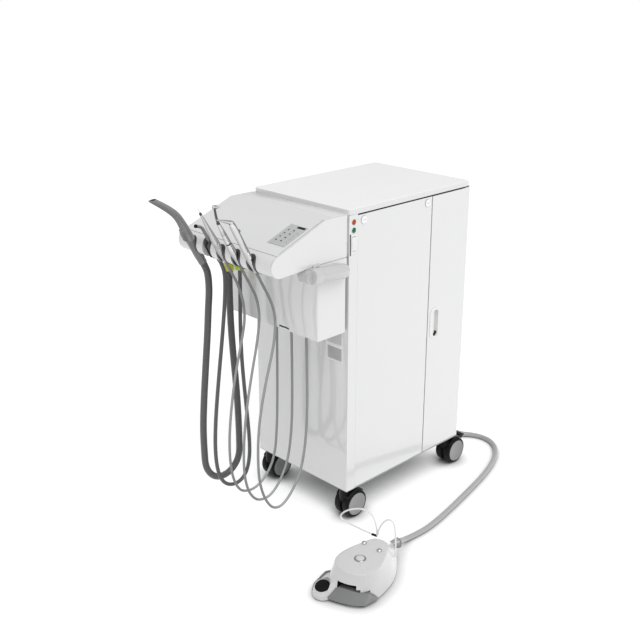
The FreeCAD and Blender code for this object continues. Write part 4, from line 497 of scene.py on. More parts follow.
finish_of("hose_rubber", grey(0.41), 0.42, 0.05, 0.03, 0.0006, 0.5, 0.15, tone=0.03, sheen=0.08)
finish_of("caster_black", (0.005, 0.005, 0.006), 0.38, 0.06, 0.02, 0.0005, 0.6, 0.3, tone=0.15,
          edge_tone=grey(0.03), ior=1.22)
finish_of("caster_wheel", (0.006, 0.006, 0.007), 0.55, 0.06, 0.02, 0.0007, 0.6, 0.3, tone=0.15, ior=1.22)
# foot_white paints light on faces that look up and shade on faces that look down
finish_of("foot_white", grey(0.575), 0.26, 0.03, 0.06, 0.0007, 0.5, 0.1, coat=0.25, tone=0.01, painted_top_light=0.16)
finish_of("foot_grey", (0.20, 0.202, 0.205), 0.42, 0.05, 0.03, 0.0006, 0.6, 0.22, tone=0.04, edge_tone=grey(0.36))
finish_of("foot_dark", (0.007, 0.007, 0.008), 0.5, 0.06, 0.02, 0.0005, 0.6, 0.3, tone=0.15, ior=1.22)
finish_of("wire_white", (0.80, 0.80, 0.79), 0.22, 0.03, 0.02, 0.0008, 0.4, 0.08, coat=0.4)
print(len(FINISHES), "finishes")

# %% Dress the CAD nodes that stay
for part in frame["record"]["subparts"]:
    node = frame["nodes"][part["node"]]
    finish = FINISHES[part["material_slot"]]
    if not node.material_slots:
        node.data.materials.append(finish)
    for held in node.material_slots:
        held.material = finish
# suction_rubber paints light on faces that look up and shade on faces that look down; slim_rubber does too, and
# also paints shade where the hose turns away from the eye
finish_of("suction_rubber", (0.070, 0.070, 0.072), 0.42, 0.06, 0.03, 0.0006, 0.5, 0.2, tone=0.08, sheen=0.1,
          painted_top_light=0.7)
finish_of("slim_rubber", (0.27, 0.275, 0.28), 0.36, 0.05, 0.03, 0.0006, 0.5, 0.15, tone=0.04, painted_rim_shade=0.6, painted_top_light=0.8)
for name, hose in hoses.items():
    hose.data.materials.append(FINISHES[f"{KINDS[name]}_rubber"])
foot_hose.data.materials.append(FINISHES["hose_rubber"])
print("nodes dressed")


# %% [markdown]
# ## Ways to make the hard pieces
# Most moulded and turned pieces come from four moves. A turned piece is half of its outline spun once round an
# axis. A block is a cube with its edges bevelled. A bent rod is the tube from the hoses on a shorter line. And a
# sheet or casting whose solid already has the right shape is copied from its node, merged, and its edges eased,
# because real edges are never perfectly sharp and it is the small round that catches the light.
#
# Each piece then goes through `fit`, which names it, dresses it and lets it ride on the body it belongs to.

# %% Turned, moulded and bent shapes
SAME_POINT = 1e-6


def spun(profile, steps=48):
    """A bmesh turned about the Z axis from a half outline of (radius, height) in millimetres."""
    bm = bmesh.new()
    corners = [bm.verts.new((radius * MM, 0, height * MM)) for radius, height in profile]
    runs = [bm.edges.new(pair) for pair in zip(corners, corners[1:])]
    bmesh.ops.spin(bm, geom=corners + runs, cent=(0, 0, 0), axis=(0, 0, 1), angle=math.tau, steps=steps,
                   use_merge=True)
    bmesh.ops.remove_doubles(bm, verts=bm.verts, dist=SAME_POINT)
    bmesh.ops.recalc_face_normals(bm, faces=bm.faces)
    return bm


def beveled(bm, ease, segments):
    if ease:
        bmesh.ops.bevel(bm, geom=bm.edges[:], offset=ease * MM, segments=segments, profile=0.5, affect="EDGES",
                        material=-1)
    return bm


def block(x, y, z, ease=0.5, segments=2):
    """A bmesh box between two values on each axis, in millimetres, with rounded edges."""
    bm = bmesh.new()
    size = [(b - a) * MM for a, b in (x, y, z)]
    centre = [(a + b) / 2 * MM for a, b in (x, y, z)]
    bmesh.ops.create_cube(bm, size=1, matrix=Matrix.Translation(centre) @ Matrix.Diagonal((*size, 1)))
    return beveled(bm, ease, segments)


def plate(outline, low, high, ease=0.5, segments=2):
    """A bmesh plate: an outline of (x, y) in millimetres, filled and extruded from one height to another."""
    bm = bmesh.new()
    face = bm.faces.new([bm.verts.new((x * MM, y * MM, low * MM)) for x, y in outline])
    grown = bmesh.ops.extrude_face_region(bm, geom=[face])
    bmesh.ops.translate(bm, vec=(0, 0, (high - low) * MM),
                        verts=[v for v in grown["geom"] if isinstance(v, bmesh.types.BMVert)])
    bmesh.ops.recalc_face_normals(bm, faces=bm.faces)
    return beveled(bm, ease, segments)


def put(bm, matrix):
    bmesh.ops.transform(bm, matrix=matrix, verts=bm.verts)
    return bm


def joined(*parts):
    """Several bmeshes as one."""
    whole = parts[0]
    for part in parts[1:]:
        held = bpy.data.meshes.new("held")
        part.to_mesh(held)
        part.free()
        whole.from_mesh(held)
        bpy.data.meshes.remove(held)
    return whole


def move(x, y, z):
    return Matrix.Translation(Vector((x, y, z)) * MM)


def turn(degrees, axis):
    return Matrix.Rotation(math.radians(degrees), 4, axis)


def local_line(points, steps):
    """A smooth line through a piece's own coordinates, in millimetres."""
    return [point - middle for point in smooth_line(points, steps)]


def bent(points, steps, radius, growth, sides):
    """A bmesh rod along a smooth line, whose radius grows by this much from its start to its end."""
    return tube_on(local_line(points, steps), lambda share: (radius + growth * share) * MM, sides)


# %% Name a piece and send it with its body
CABINET = Matrix.Translation(middle)
SLOT_OF = {part["node"]: part["material_slot"] for part in frame["record"]["subparts"]}
FLAT_WITHIN = math.radians(0.6)


def round_edges(piece, width, segments, sharper_than=32):
    """Rounds the edges that turn by more than the given degrees, by this many millimetres."""
    ease = piece.modifiers.new("ease", "BEVEL")
    ease.width = width * MM
    ease.segments = segments
    ease.limit_method = "ANGLE"
    ease.angle_limit = math.radians(sharper_than)
    ease.harden_normals = True


def fit(bm, seat, name, body, slot, finish=None, replaced=None, soften=0.0, sharp=35, segments=2):
    """Puts a bmesh on its seat, names it as a piece, gives it its finish and round edges, and lets it ride."""
    piece = piece_from(put(bm, seat) if seat else bm, name, sharp=sharp)
    piece.data.materials.append(FINISHES[finish or slot])
    if soften:
        round_edges(piece, soften, segments)
    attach(piece, body)
    if replaced:
        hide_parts(replaced)
    return piece


def fitter(body, seat):
    """A shorter fit, for the pieces of one body that are drawn on one seat."""
    def fit_one(bm, name, *looks, **more):
        return fit(bm, seat, name, body, *looks, **more)
    return fit_one


def eased(node, width, body, finish=None, segments=2):
    """A merged copy of a CAD node with its edges rounded by this many millimetres, in place of the node."""
    bm = bmesh.new()
    bm.from_mesh(frame["nodes"][node].data)
    bmesh.ops.remove_doubles(bm, verts=bm.verts, dist=2 * SAME_POINT)
    bmesh.ops.dissolve_limit(bm, angle_limit=FLAT_WITHIN, verts=bm.verts, edges=bm.edges)
    return fit(bm, None, f"{node}_eased", body, SLOT_OF[node], finish, node, soften=width, sharp=30,
               segments=segments)


on_cabinet = fitter("cabinet", CABINET)
print("node slots:", len(SLOT_OF))

# %% [markdown]
# ## The five instruments
# Each instrument is drawn upright on its own axis, from the seat in its holder, and then leaned back by 28
# degrees into its slot. The grips are turned. Their grooves matter, because a hand has to hold them wet, and
# because a plain cone looks like a toy. The bent ends are tubes on a line, cut off by `bisect_plane` where they
# are open.

# %% Lean an instrument into its slot
def slot_frame(name):
    x, y = SLOTS[name]
    return CABINET @ move(x, y, SEAT_HEIGHT) @ turn(TILT_DEGREES, "X")


def open_tube(line, radius_at, wall, cut_at, cut_normal, sides=36):
    """A bmesh tube along a line with a wall, open at the end that a plane cuts off."""
    bm = tube_on(line, lambda share: radius_at(share) * MM, sides)
    bmesh.ops.bisect_plane(bm, geom=bm.verts[:] + bm.edges[:] + bm.faces[:], plane_co=Vector(cut_at) * MM,
                           plane_no=cut_normal, clear_outer=True)
    start_cap = min(bm.faces, key=lambda face: (face.calc_center_median() - line[0]).length)
    bmesh.ops.delete(bm, geom=[start_cap], context="FACES_ONLY")
    bmesh.ops.solidify(bm, geom=bm.faces[:], thickness=wall * MM)
    bmesh.ops.recalc_face_normals(bm, faces=bm.faces)
    return bm


# suction_grey, pale_metal and pale_plastic paint shade where the surface turns away from the eye, and paint light
# on faces that look up and shade on faces that look down
finish_of("suction_grey", (0.22, 0.22, 0.225), 0.30, 0.05, 0.03, 0.0005, 0.5, 0.14, tone=0.06, metal=0.2,
          edge_tone=(0.42, 0.42, 0.43), painted_rim_shade=0.3, painted_top_light=0.75)
finish_of("dark_grip", (0.06, 0.06, 0.064), 0.38, 0.05, 0.02, 0.0005, 0.6, 0.2, tone=0.1, edge_tone=grey(0.16))
finish_of("pale_metal", (0.62, 0.62, 0.625), 0.20, 0.05, 0.02, 0.0005, 0.4, 0.06, metal=0.9, edge_tone=grey(0.85),
          edge_share=0.25, painted_rim_shade=1.15, painted_top_light=0.35)
finish_of("ring_metal", (0.36, 0.36, 0.37), 0.24, 0.05, 0.01, 0.0005, 0.4, 0.06, metal=1.0, edge_tone=grey(0.6))
finish_of("pale_plastic", (0.58, 0.58, 0.585), 0.26, 0.04, 0.02, 0.0005, 0.5, 0.12, metal=0.6, tone=0.02,
          edge_tone=grey(0.7), edge_share=0.25, painted_rim_shade=1.1, painted_top_light=0.35)

# %% The suction handpiece
add = fitter("suction_handpiece", slot_frame("suction"))
grip = spun([(0, -55.6), (9.9, -55.6), (10.3, -55), (10.3, -46.4), (10.0, -46), (10.0, -45), (10.4, -44.6),
             (11.0, -38), (11.5, -28), (11.1, -27.4), (11.1, -26.4), (11.5, -25.8), (11.5, 14), (11.9, 15),
             (11.9, 19), (11.5, 20), (11.4, 40), (10.9, 54), (10.2, 66), (9.7, 72), (0, 72)], 56)
add(grip, "suction_grip", "instrument_plastic", "suction_grey", "suction_handpiece", soften=0.25)
bend = local_line([(0, 0, 58), (0, 0, 70), (0, -1.2, 84), (0, -5.6, 100), (0, -13, 117), (0, -23, 136),
                   (0, -35, 157), (0, -48, 180)], 12)
tip = open_tube(bend, lambda share: 10.2 - 4.2 * share ** 1.2, 1.2, (0, -35, 160), (0, 0.28, 0.96))
add(tip, "suction_tip", "instrument_metal", "suction_grey", soften=0.3)
slide = joined(block((-4.5, 4.5), (-15.2, -8), (22, 48), 1.4, 3),
               block((-6.2, 6.2), (-12.6, -6), (17, 53), 1.0, 3),
               *[block((-3.4, 3.4), (-16.4, -13), (low, low + 3), 0.6) for low in (26, 33, 40)])
add(slide, "suction_slide", "instrument_plastic", "suction_grey")
print("suction handpiece made")

# %% The saliva ejector
add = fitter("saliva_handpiece", slot_frame("saliva"))
grip = spun([(0, -41.7), (5.0, -41.7), (5.5, -41), (5.5, -31), (5.1, -30.5), (5.1, -29.5), (5.5, -29), (5.5, 8),
             (5.1, 8.6), (5.1, 9.6), (5.5, 10.2), (5.5, 15), (4.4, 17.5), (4.0, 20), (4.0, 50), (0, 50)], 40)
add(grip, "saliva_grip", "instrument_plastic", "suction_grey", "saliva_handpiece", soften=0.2)
elbow = bent([(0, 0, 46), (0, 0, 56), (0, -1.5, 63), (0, -6, 69), (0, -12.5, 74.9)], 8, 4.0, -0.5, 28)
add(elbow, "saliva_elbow", "instrument_metal", "suction_grey")
cap = put(spun([(0, 0), (3.9, 0), (4.3, 0.6), (4.3, 3.6), (3.6, 4.8), (2.4, 5.2), (2.4, 1.5), (0, 1.5)], 32),
          move(0, -11.2, 73.7) @ turn(47, "X"))
add(cap, "saliva_cap", "instrument_plastic", "foot_dark")
print("saliva ejector made")

# %% The scaler
add = fitter("scaler_handpiece", slot_frame("scaler"))
rings = [(0, -23), (4.2, -23), (4.8, -22.2), (4.8, -18), (4.5, -17.6), (4.5, -16.8), (5, -16.4), (6.6, -4),
         (8.4, 12)]
for height in (19, 23, 27, 31):
    rings += [(8.75, height), (8.35, height + 0.5), (8.35, height + 1.5), (8.65, height + 2)]
rings += [(8.2, 42), (6.2, 62), (4.7, 82), (3.5, 100), (2.8, 113), (2.7, 114.4), (0, 114.4)]
add(spun(rings, 44), "scaler_grip", "instrument_plastic", "pale_plastic", "scaler_handpiece", soften=0.2)
add(spun([(0, 113.8), (2.8, 113.8), (3.2, 114.4), (3.2, 118.6), (2.5, 119.6), (0, 119.6)], 32), "scaler_ring",
    "black_plastic", soften=0.2)
needle = bent([(0, 0, 118), (0, 0, 123), (0, 0.9, 127), (0, 0.3, 130.5), (0, -1.5, 133)], 8, 1.3, -1.0, 20)
add(needle, "scaler_needle", "instrument_metal", "pale_metal")
print("scaler made")

# %% The drill
upright = slot_frame("drill")
add = fitter("drill_handpiece", upright)
motor = spun([(0, -16.7), (4.2, -16.7), (4.8, -16), (5, -12), (6.8, 2), (8.6, 16), (8.9, 22), (8.6, 22.4),
              (8.6, 23.6), (8.9, 24), (8.6, 30), (7.6, 40), (7, 43.4), (0, 43.4)], 48)
add(motor, "drill_motor", "instrument_metal", "pale_metal", "drill_handpiece", soften=0.2)
add(spun([(0, 43.2), (6.7, 43.2), (6.7, 46.4), (0, 46.4)], 40), "drill_ring", "black_plastic", soften=0.2)
grooves = [(0, 46.2), (6.6, 46.2), (6.9, 47)]
for height in (52, 56, 60, 64, 68):
    slim = (height - 52) * 0.045
    grooves += [(6.9 - slim, height), (6.6 - slim, height + 0.5), (6.5 - slim, height + 1.6),
                (6.75 - slim, height + 2.1)]
grooves += [(5, 86), (4, 97), (3.6, 103), (3.4, 104.5), (0, 104.5)]
add(spun(grooves, 44), "drill_sleeve", "instrument_metal", "pale_metal", soften=0.15)
joint = spun([(0, 100.5), (3.9, 100.5), (4.1, 101), (3.8, 104.2), (3.2, 104.8), (0, 104.8)], 36)
add(joint, "drill_joint", "black_plastic")
neck = bent([(0, 0, 102), (0, 0.6, 108), (0, 3.2, 120), (0, 6.5, 130), (0, 9.4, 138)], 8, 3.1, -0.5, 28)
add(neck, "drill_neck", "instrument_plastic", "dark_grip")
head_seat = upright @ move(0, 6.4, 143) @ turn(-127, "X")
head = spun([(0, 0), (3.4, 0), (3.9, 0.6), (4.1, 1.6), (4.1, 8), (3.8, 8.4), (3.8, 9.1), (4.1, 9.5), (4.1, 11.6),
             (3.2, 13), (0, 13.3)], 36)
fit(head, head_seat, "drill_head", "drill_handpiece", "instrument_metal", "pale_metal", soften=0.15)
bur = spun([(0, 12.6), (1.6, 12.6), (1.6, 14), (0.7, 14.4), (0.7, 18), (1, 18.6), (1, 20.4), (0, 21)], 20)
fit(bur, head_seat, "drill_bur", "drill_handpiece", "steel")
print("drill made")

# %% The three-way syringe
upright = slot_frame("syringe")
add = fitter("syringe", upright)
body = [(0, -24), (4.2, -24), (4.8, -23.4), (5, -18), (4.7, -17.6), (4.7, -16.8), (5.1, -16.4), (6.4, -2),
        (7.6, 12)]
for height in (18, 22, 26, 30, 34):
    body += [(7.8, height), (7.4, height + 0.5), (7.4, height + 1.6), (7.8, height + 2.1)]
body += [(7.6, 46), (7.6, 62), (7.8, 78), (7.8, 92), (7.4, 106), (6.6, 114), (6, 116), (0, 116)]
shell = piece_from(put(spun(body, 48), upright), "syringe_body_blank")
well = piece_from(put(spun([(0, 0), (4.8, 0), (4.8, 12), (0, 12)], 36),
                      upright @ move(0, 2.7, 88) @ turn(-90, "X")), "syringe_well_tool")


def carved(piece, tool):
    """Cuts a tool out of a piece and leaves one plain mesh, whose cut faces have the second material index."""
    for held in (piece, tool):
        for slot in range(2):
            held.data.materials.append(None)
    for face in tool.data.polygons:
        face.material_index = 1
    cutting = piece.modifiers.new("cut", "BOOLEAN")
    cutting.operation = "DIFFERENCE"
    cutting.solver = "EXACT"
    cutting.use_self = True
    cutting.object = tool
    graph = bpy.context.evaluated_depsgraph_get()
    result_mesh = bpy.data.meshes.new_from_object(piece.evaluated_get(graph))
    bm = bmesh.new()
    bm.from_mesh(result_mesh)
    for used in (piece, tool):
        bpy.data.objects.remove(used)
    bpy.data.meshes.remove(result_mesh)
    return bm


fit(carved(shell, well), None, "syringe_body", "syringe", "instrument_metal", "pale_metal", "syringe")
nozzle = bent([(0, 0, 114), (0, 0, 117), (0, -2.4, 120), (0, -14, 132.6), (0, -28.8, 147.5)], 10, 5.2, -4.1, 24)
add(nozzle, "syringe_nozzle", "instrument_metal", "pale_metal")
nut = spun([(0, 115), (5.2, 115), (5.6, 115.8), (5.6, 118), (5.1, 118.8), (4.6, 119.4), (0, 119.4)], 36)
add(nut, "syringe_nut", "instrument_metal", "pale_metal", soften=0.2)
button = spun([(0, 0), (4.2, 0), (4.5, 0.4), (4.5, 3.4), (3.9, 4.6), (2.4, 5.4), (0, 5.6)], 36)
fit(button, upright @ move(0, 5.2, 88) @ turn(-90, "X"), "syringe_button_cap", "syringe_button", "button_green",
    replaced="syringe_button")
print("syringe made")

# %% [markdown]
# ## Console
# The console is bent sheet steel between two thick cheeks, with a round-nosed bar along its front. Five notches
# in the bar have soft U-shaped liners, so an instrument slips in from the front. Their solids already have the
# right shape, so they are copied, merged and eased. The bar is moulded and gets the widest round.

# %% Ease the console, its bar and its liners
for node, width, segments in (("console_sides", 1.0, 3), ("console_shell", 0.6, 2), ("console_floor", 0.4, 2),
                              ("holder_bar", 1.6, 3), ("slot_liners", 0.9, 3), ("hose_box", 0.5, 2)):
    eased(node, width, "cabinet", segments=segments)
lid = joined(block((-161, 161), (-233.5, -225.6), (722, 812), 0.8),
             block((-161.9, 161.9), (-271, -225.6), (811, 817.8), 0.8))
on_cabinet(lid, "console_rear_lid", "white_paint")
# painted shade: a thin dark grey strip along the seam between cheek and shell stands in for the shade in its
# groove
seam_shadow = plate([(-439, 764.9), (-302, 817.4), (-302, 818.2), (-439, 765.7)], 160.1, 161.0, 0)
fit(seam_shadow, CABINET @ turn(90, "Y") @ turn(90, "Z"), "console_seam_shadow", "cabinet", "foot_grey")
finish_of("lime_plastic", (0.44, 0.58, 0.06), 0.28, 0.04, 0.01, 0.0006, 0.4, 0.12, coat=0.2, tone=0.06)
COUPLING_RADIUS = 12.4
sleeve = spun([(0, 637), (10.6, 637), (10.8, 637.8), (10.8, 652), (0, 652)], 40)
fit(sleeve, CABINET @ move(-110, -362, 0), "coupling_sleeve", "cabinet", "hose_rubber", "suction_rubber")
COUPLING_STEPS = ((2.2, 0), (0.8, 0.5), (0, 1.8), (0, 9), (0.6, 9.6), (0.6, 10.8), (0, 11.4), (0, 24), (1.4, 26))
for side, x, y, low, finish, node in (("suction", -110, -362, 651, "coupling", "return_couplings"),
                                      ("saliva", -66, -364, 664, "lime_plastic", None)):
    outline = [(COUPLING_RADIUS - inside, low + up) for inside, up in COUPLING_STEPS]
    coupling = spun([(0, low), *outline, (outline[-1][0], 718), (0, 718)], 40)
    fit(coupling, CABINET @ move(x, y, 0), f"coupling_{side}", "cabinet", "coupling", finish, node)
print("console eased")

# %% [markdown]
# ## Grab bar
# A thick white bar runs along the right cheek and turns in across the front of the hose box, where a broad strap
# holds its elbow. Its free end is a dome, because a hand slides off it.

# %% Turn the grab bar
finish_of("grab_stub_shade", (0.50, 0.50, 0.505), 0.3, 0.04, 0.03, 0.0006, 0.5, 0.12, coat=0.2, tone=0.02)
along_bar = CABINET @ move(180, -241.6, 690.8) @ turn(85.3, "X")
bar = spun([(0, 0), (6, 1.1), (11, 3.8), (14.8, 8), (16.9, 13), (17.6, 17.6), (17.6, 94), (17.2, 94.6),
            (0, 94.6)], 56)
fit(bar, along_bar, "grab_bar_tube", "cabinet", "bar", replaced="grab_bar")
strap = spun([(0, 94), (18.2, 94), (18.7, 94.6), (18.7, 117), (18.2, 117.6), (0, 117.6)], 56)
tab = put(block((166.5, 171), (-345, -323), (694, 722), 1.2, 3), CABINET)
fit(joined(put(strap, along_bar), tab), None, "grab_bar_strap", "cabinet", "bar")
# painted shade: the stub across the front takes a darker copy of the bar's finish for its shaded front side
stub = spun([(0, 0), (15.8, 0), (15.8, 32), (14.6, 34.6), (11, 36), (0, 36.4)], 48)
fit(stub, CABINET @ move(183, -359.5, 699.2) @ turn(-90, "Y"), "grab_bar_stub", "cabinet", "bar", "grab_stub_shade")
bracket = block((160.2, 167.45), (-338, -232.7), (695, 716), 1.0, 3)
on_cabinet(bracket, "grab_bar_bracket", "white_paint")
screw = spun([(0, 0), (2.8, 0), (2.8, 0.8), (2.2, 1.3), (0.9, 1.4), (0.9, 0.7), (0, 0.7)], 24)
fit(screw, CABINET @ move(171, -331, 716.5) @ turn(90, "Y"), "grab_bar_screw", "cabinet", "steel")
print("grab bar turned")

# %% [markdown]
# ## Key field
# The keys are rounded pads on one grey film: two columns of small ones, a column of narrow ones at the right
# edge, and a black display window above them. Each pad stands up by a few tenths of a millimetre. The marks are
# plain dots and bars, because a mark needs no words to be found with a finger.

# %% Build the key field
CONSOLE_SLOPE = 20.9
on_keys = CABINET @ move(96, -340.74, 803.02) @ turn(CONSOLE_SLOPE, "X")
on_key_field = fitter("cabinet", on_keys)
KEY_ROWS, KEY_COLUMNS, BAR_ROWS = (-21, -35, -49, -63), (13, 30), (-26, -38, -50, -62)
on_key_field(block((0, 55), (-79, 0), (0, 1.2), 0.5, 3), "key_film", "keypad", replaced="keypad")
pads = [block((column - 5.5, column + 5.5), (row - 4.5, row + 4.5), (0.9, 1.55), 0.55, 3)
        for row in KEY_ROWS for column in KEY_COLUMNS]
pads += [block((43.5, 50), (row - 4, row + 4), (0.9, 1.5), 0.5, 3) for row in BAR_ROWS]
on_key_field(joined(*pads), "key_pads", "keypad")
pale_marks, dark_marks = [], []
for place, row in enumerate(KEY_ROWS):
    for column in KEY_COLUMNS:
        dark = column == 30 and place % 2 == 0 or place == 3
        mark = put(spun([(0, 1.5), (2.3, 1.5), (2.3, 1.72), (0, 1.78)], 20), move(column, row, 0))
        (dark_marks if dark else pale_marks).append(mark)
pale_marks += [block((45.5, 48), (row - 0.7, row + 0.7), (1.4, 1.66), 0) for row in BAR_ROWS]
on_key_field(joined(*dark_marks), "key_marks_dark", "keypad", "foot_dark")
on_key_field(joined(*pale_marks), "key_marks", "keypad", "dark_grip")
window = block((27, 52.5), (-10, -3), (0.8, 1.5), 0.3, 2)
on_key_field(window, "key_window", "black_plastic", "foot_dark")
print("key field made with", len(pads), "keys")

# %% [markdown]
# ## Lamps, switch, locks and pull
# Small parts on a plain door carry a lot of its character. A lamp is a domed lens in a white ring, a lock is a
# turned chrome barrel with a slot for its key, and the pull is a stadium-shaped rim with a well behind it.

# %% Set the lamps and the switch
LENSES = {"red": ((0.50, 0.062, 0.004), 797, "indicator_lamps"), "green": ((0.003, 0.17, 0.075), 777.5, None)}
for tone, (colour, height, node) in LENSES.items():
    # the lenses paint shade where they turn away from the eye
    finish_of(f"lens_{tone}", colour, 0.3, 0.03, 0.01, 0.0006, 0.4, 0.06, tone=0.08, ior=1.3, painted_rim_shade=0.5)
    seat = CABINET @ move(167.5, -210.7, height) @ turn(90, "Y")
    ring = spun([(6.3, -9), (6.3, 0.4), (6.5, 0.9), (7, 1), (7.3, 0.6), (7.3, 0), (6.8, 0), (6.8, -9), (6.3, -9)],
                36)
    fit(ring, seat, f"lamp_ring_{tone}", "cabinet", "lamps", replaced=node)
    lens = spun([(0, -6), (6.15, -6), (6.25, 0.6), (5.9, 1.6), (4.8, 2.4), (2.6, 2.9), (0, 3.0)], 36)
    fit(lens, seat, f"lamp_lens_{tone}", "cabinet", "lamps", f"lens_{tone}")
eased("switch_bezel", 0.5, "cabinet", "service_plate")
# painted shadow: a dark strip along the bezel's front side stands in for its shaded side
on_cabinet(block((167.3, 169.8), (-222.6, -221.1), (718, 769), 0.4), "switch_edge", "black_plastic", "dark_grip")
eased("switch_rocker", 0.8, "rocker", "pull", segments=3)
print("lamps and switch set")

# %% Ease the locks and the pull
for end in ("front", "rear"):
    eased(f"lock_{end}", 0.35, f"{end}_lock")
eased("door_pull", 0.6, "service_door", segments=3)
print("locks and pull set")

# %% [markdown]
# ## Cabinet
# Every sheet of the cabinet is folded, so its edges are round by about its thickness. The worktop is thicker and
# is pressed over a board, so it is rounder.

# %% Ease the sheets of the cabinet
SHEETS = {"worktop": 1.2, "front_panel": 1.0, "side_panel_left": 0.5, "rear_panel": 0.5, "base_pan": 0.6,
          "access_panel": 0.7, "service_door": 0.7, "service_plate": 0.25, "door_frame": 0.4,
          "rear_fittings": 0.4, "hose_outlets": 0.4, "power_supply": 0.8}
DOORS = ("access_panel", "service_door")
sheets = {node: eased(node, width, node if node in DOORS else "cabinet") for node, width in SHEETS.items()}
print("sheets eased")

# %% [markdown]
# The doors are shut against dark strips, one under the worktop and one down the post between them: painted
# shadow in the gaps. Their edges stand back from the strips by a millimetre or two, which leaves the dark lines
# that tell where a door ends. The worktop's side faces take a greyer copy of its finish, which is painted shade.

# %% Draw the door edges back and lay dark strips of painted shadow in the gaps
def drawn(piece, axis, low, high, by):
    """Moves the points of a piece that lie between two places on an axis of the cabinet, in millimetres."""
    along = "xyz".index(axis)
    start = middle[along]
    for point in piece.data.vertices:
        if low * MM < point.co[along] - start < high * MM:
            point.co[along] += by * MM


for door, axis, low, high, by in (("access_panel", "z", 809, 814, -2.0), ("service_door", "z", 809, 814, -2.4),
                                  ("access_panel", "y", 70, 74, -1.0), ("service_door", "y", 73, 77, 1.0),
                                  ("access_panel", "y", -196, -193, -0.8)):
    drawn(sheets[door], axis, low, high, by)
# painted shadow: dark strips behind the door gaps stand in for the shade inside them
gap_shadow_strips = joined(block((157, 166), (-195, 224.6), (811.2, 814.3), 0.2),
               block((157.6, 165), (72.6, 74.4), (92, 810.2), 0.2))
on_cabinet(gap_shadow_strips, "door_seals", "liner", "foot_dark")
# painted shade: faces that are not flat get a greyer copy of the worktop's finish
finish_of("worktop_side_shade", grey(0.76), 0.32, 0.03, 0.12, 0.0009, 0.5, 0.10, tone=0.008)
sheets["worktop"].data.materials.append(FINISHES["worktop_side_shade"])
for face in sheets["worktop"].data.polygons:
    face.material_index = int(abs(face.normal.z) < 0.5)
print("seals laid")

# %% Set the service plate's dark pane and a painted reflection above it
# the low pane is the plate's own dark grey; the high pane is a painted reflection on the glossy panel
for name, left, low, high, tone in (("low", 99.8, 445.5, 477, 0.40), ("high", 96, 487, 529, 0.54)):
    finish_of(f"pane_{name}", grey(tone), 0.22, 0.03, 0.03, 0.0006, 0.4, 0.1, tone=0.01)
    on_cabinet(block((left, 147.4), (-227.3, -225.7), (low, high), 0.3), f"service_pane_{name}", "service_plate",
               f"pane_{name}")
print("panes set")

# %% [markdown]
# ## Casters
# Each caster has two tyres with a hood between and over them, and a flat grey disc covers each hub. The wheel is
# turned from its real half outline: a flat tread, a rounded shoulder, a groove, and the rim of the cover.

# %% Turn the wheels
WHEEL_RADIUS = 37.5
CASTERS = {f"{end}_{side}": (x, y) for end, y in (("front", -185.5), ("rear", 229.5))
           for side, x in (("left", -143.5), ("right", 143.5))}
finish_of("hub_cover", (0.25, 0.25, 0.255), 0.34, 0.04, 0.02, 0.0006, 0.5, 0.15, tone=0.02, edge_tone=grey(0.6),
          edge_share=0.8)
TYRE = [(4.1, 0.2), (30.6, 0.2), (31, 0), (33.5, 0.3), (35.9, 1.5), (37.1, 3.6), (WHEEL_RADIUS, 6),
        (WHEEL_RADIUS, 14), (37.1, 16.4), (35.9, 18.5), (33.5, 19.7), (31.2, 20), (30.4, 19.4), (4.1, 19.4),
        (4.1, 0.2)]
DISC = [(0, 19), (30, 19), (30.2, 20.3), (29.7, 20.8), (28.8, 20.8), (28.3, 20.3), (27.9, 20.1), (0, 20.3)]
for name, (x, y) in CASTERS.items():
    seats = [CABINET @ move(x + side * 4, y, WHEEL_RADIUS) @ turn(90 * side, "Y") for side in (-1, 1)]
    tyres, discs = [joined(*[put(spun(outline, 56), seat) for seat in seats]) for outline in (TYRE, DISC)]
    fit(tyres, None, f"tyres_{name}", f"wheels_{name}", "caster_wheel", replaced=f"caster_wheels_{name}")
    fit(discs, None, f"hub_covers_{name}", f"wheels_{name}", "service_plate", "hub_cover")
    eased(f"caster_fork_{name}", 0.6, f"caster_{name}")
for name in ("rear_left", "rear_right"):
    eased(f"caster_brake_{name}", 0.6, f"brake_{name}")
print(len(CASTERS), "pairs of wheels turned")

# %% [markdown]
# ## Foot control
# The foot control is a moulded pear-shaped shell. It is lofted: its outline on the floor is filled, extruded up
# ring by ring, and each ring is moved to where the shell is at that height. A subdivision surface smooths it, and
# only then are the pedal's room and the button's well cut, so that their edges stay crisp. The cut faces take the
# second finish of the piece, which is black: painted shade that makes the slot over the pedal look deep.

# %% Loft the shell of the foot control
FOOT_MATRIX = CABINET @ move(*FOOT_PLACE, 0) @ turn(FOOT_TURN_DEGREES, "Z")
FOOT_LOW = [(110, -50), (112, -16), (108, 16), (94, 38), (62, 50), (30, 53.5), (-12, 54), (-54, 43), (-92, 24),
            (-116, 12), (-116, -10), (-92, -24), (-54, -41), (-6, -55), (42, -66), (88, -74)]
FOOT_WAIST = [(107, -45), (112, -16), (107, 14), (93, 36), (62, 48), (30, 52), (-10, 51), (-52, 37), (-88, 17),
              (-113, 8), (-113, -9), (-88, -20), (-52, -38), (-6, -51), (42, -62), (86, -66)]
FOOT_HIGH = [(88, -44), (103, -16), (104, 14), (95, 36), (66, 50), (30, 49), (0, 40), (-26, 33), (-44, 25),
             (-56, 11), (-57, -11), (-46, -24), (-22, -34), (4, -46), (40, -58), (72, -57)]
on_foot_control = fitter("cabinet", FOOT_MATRIX)
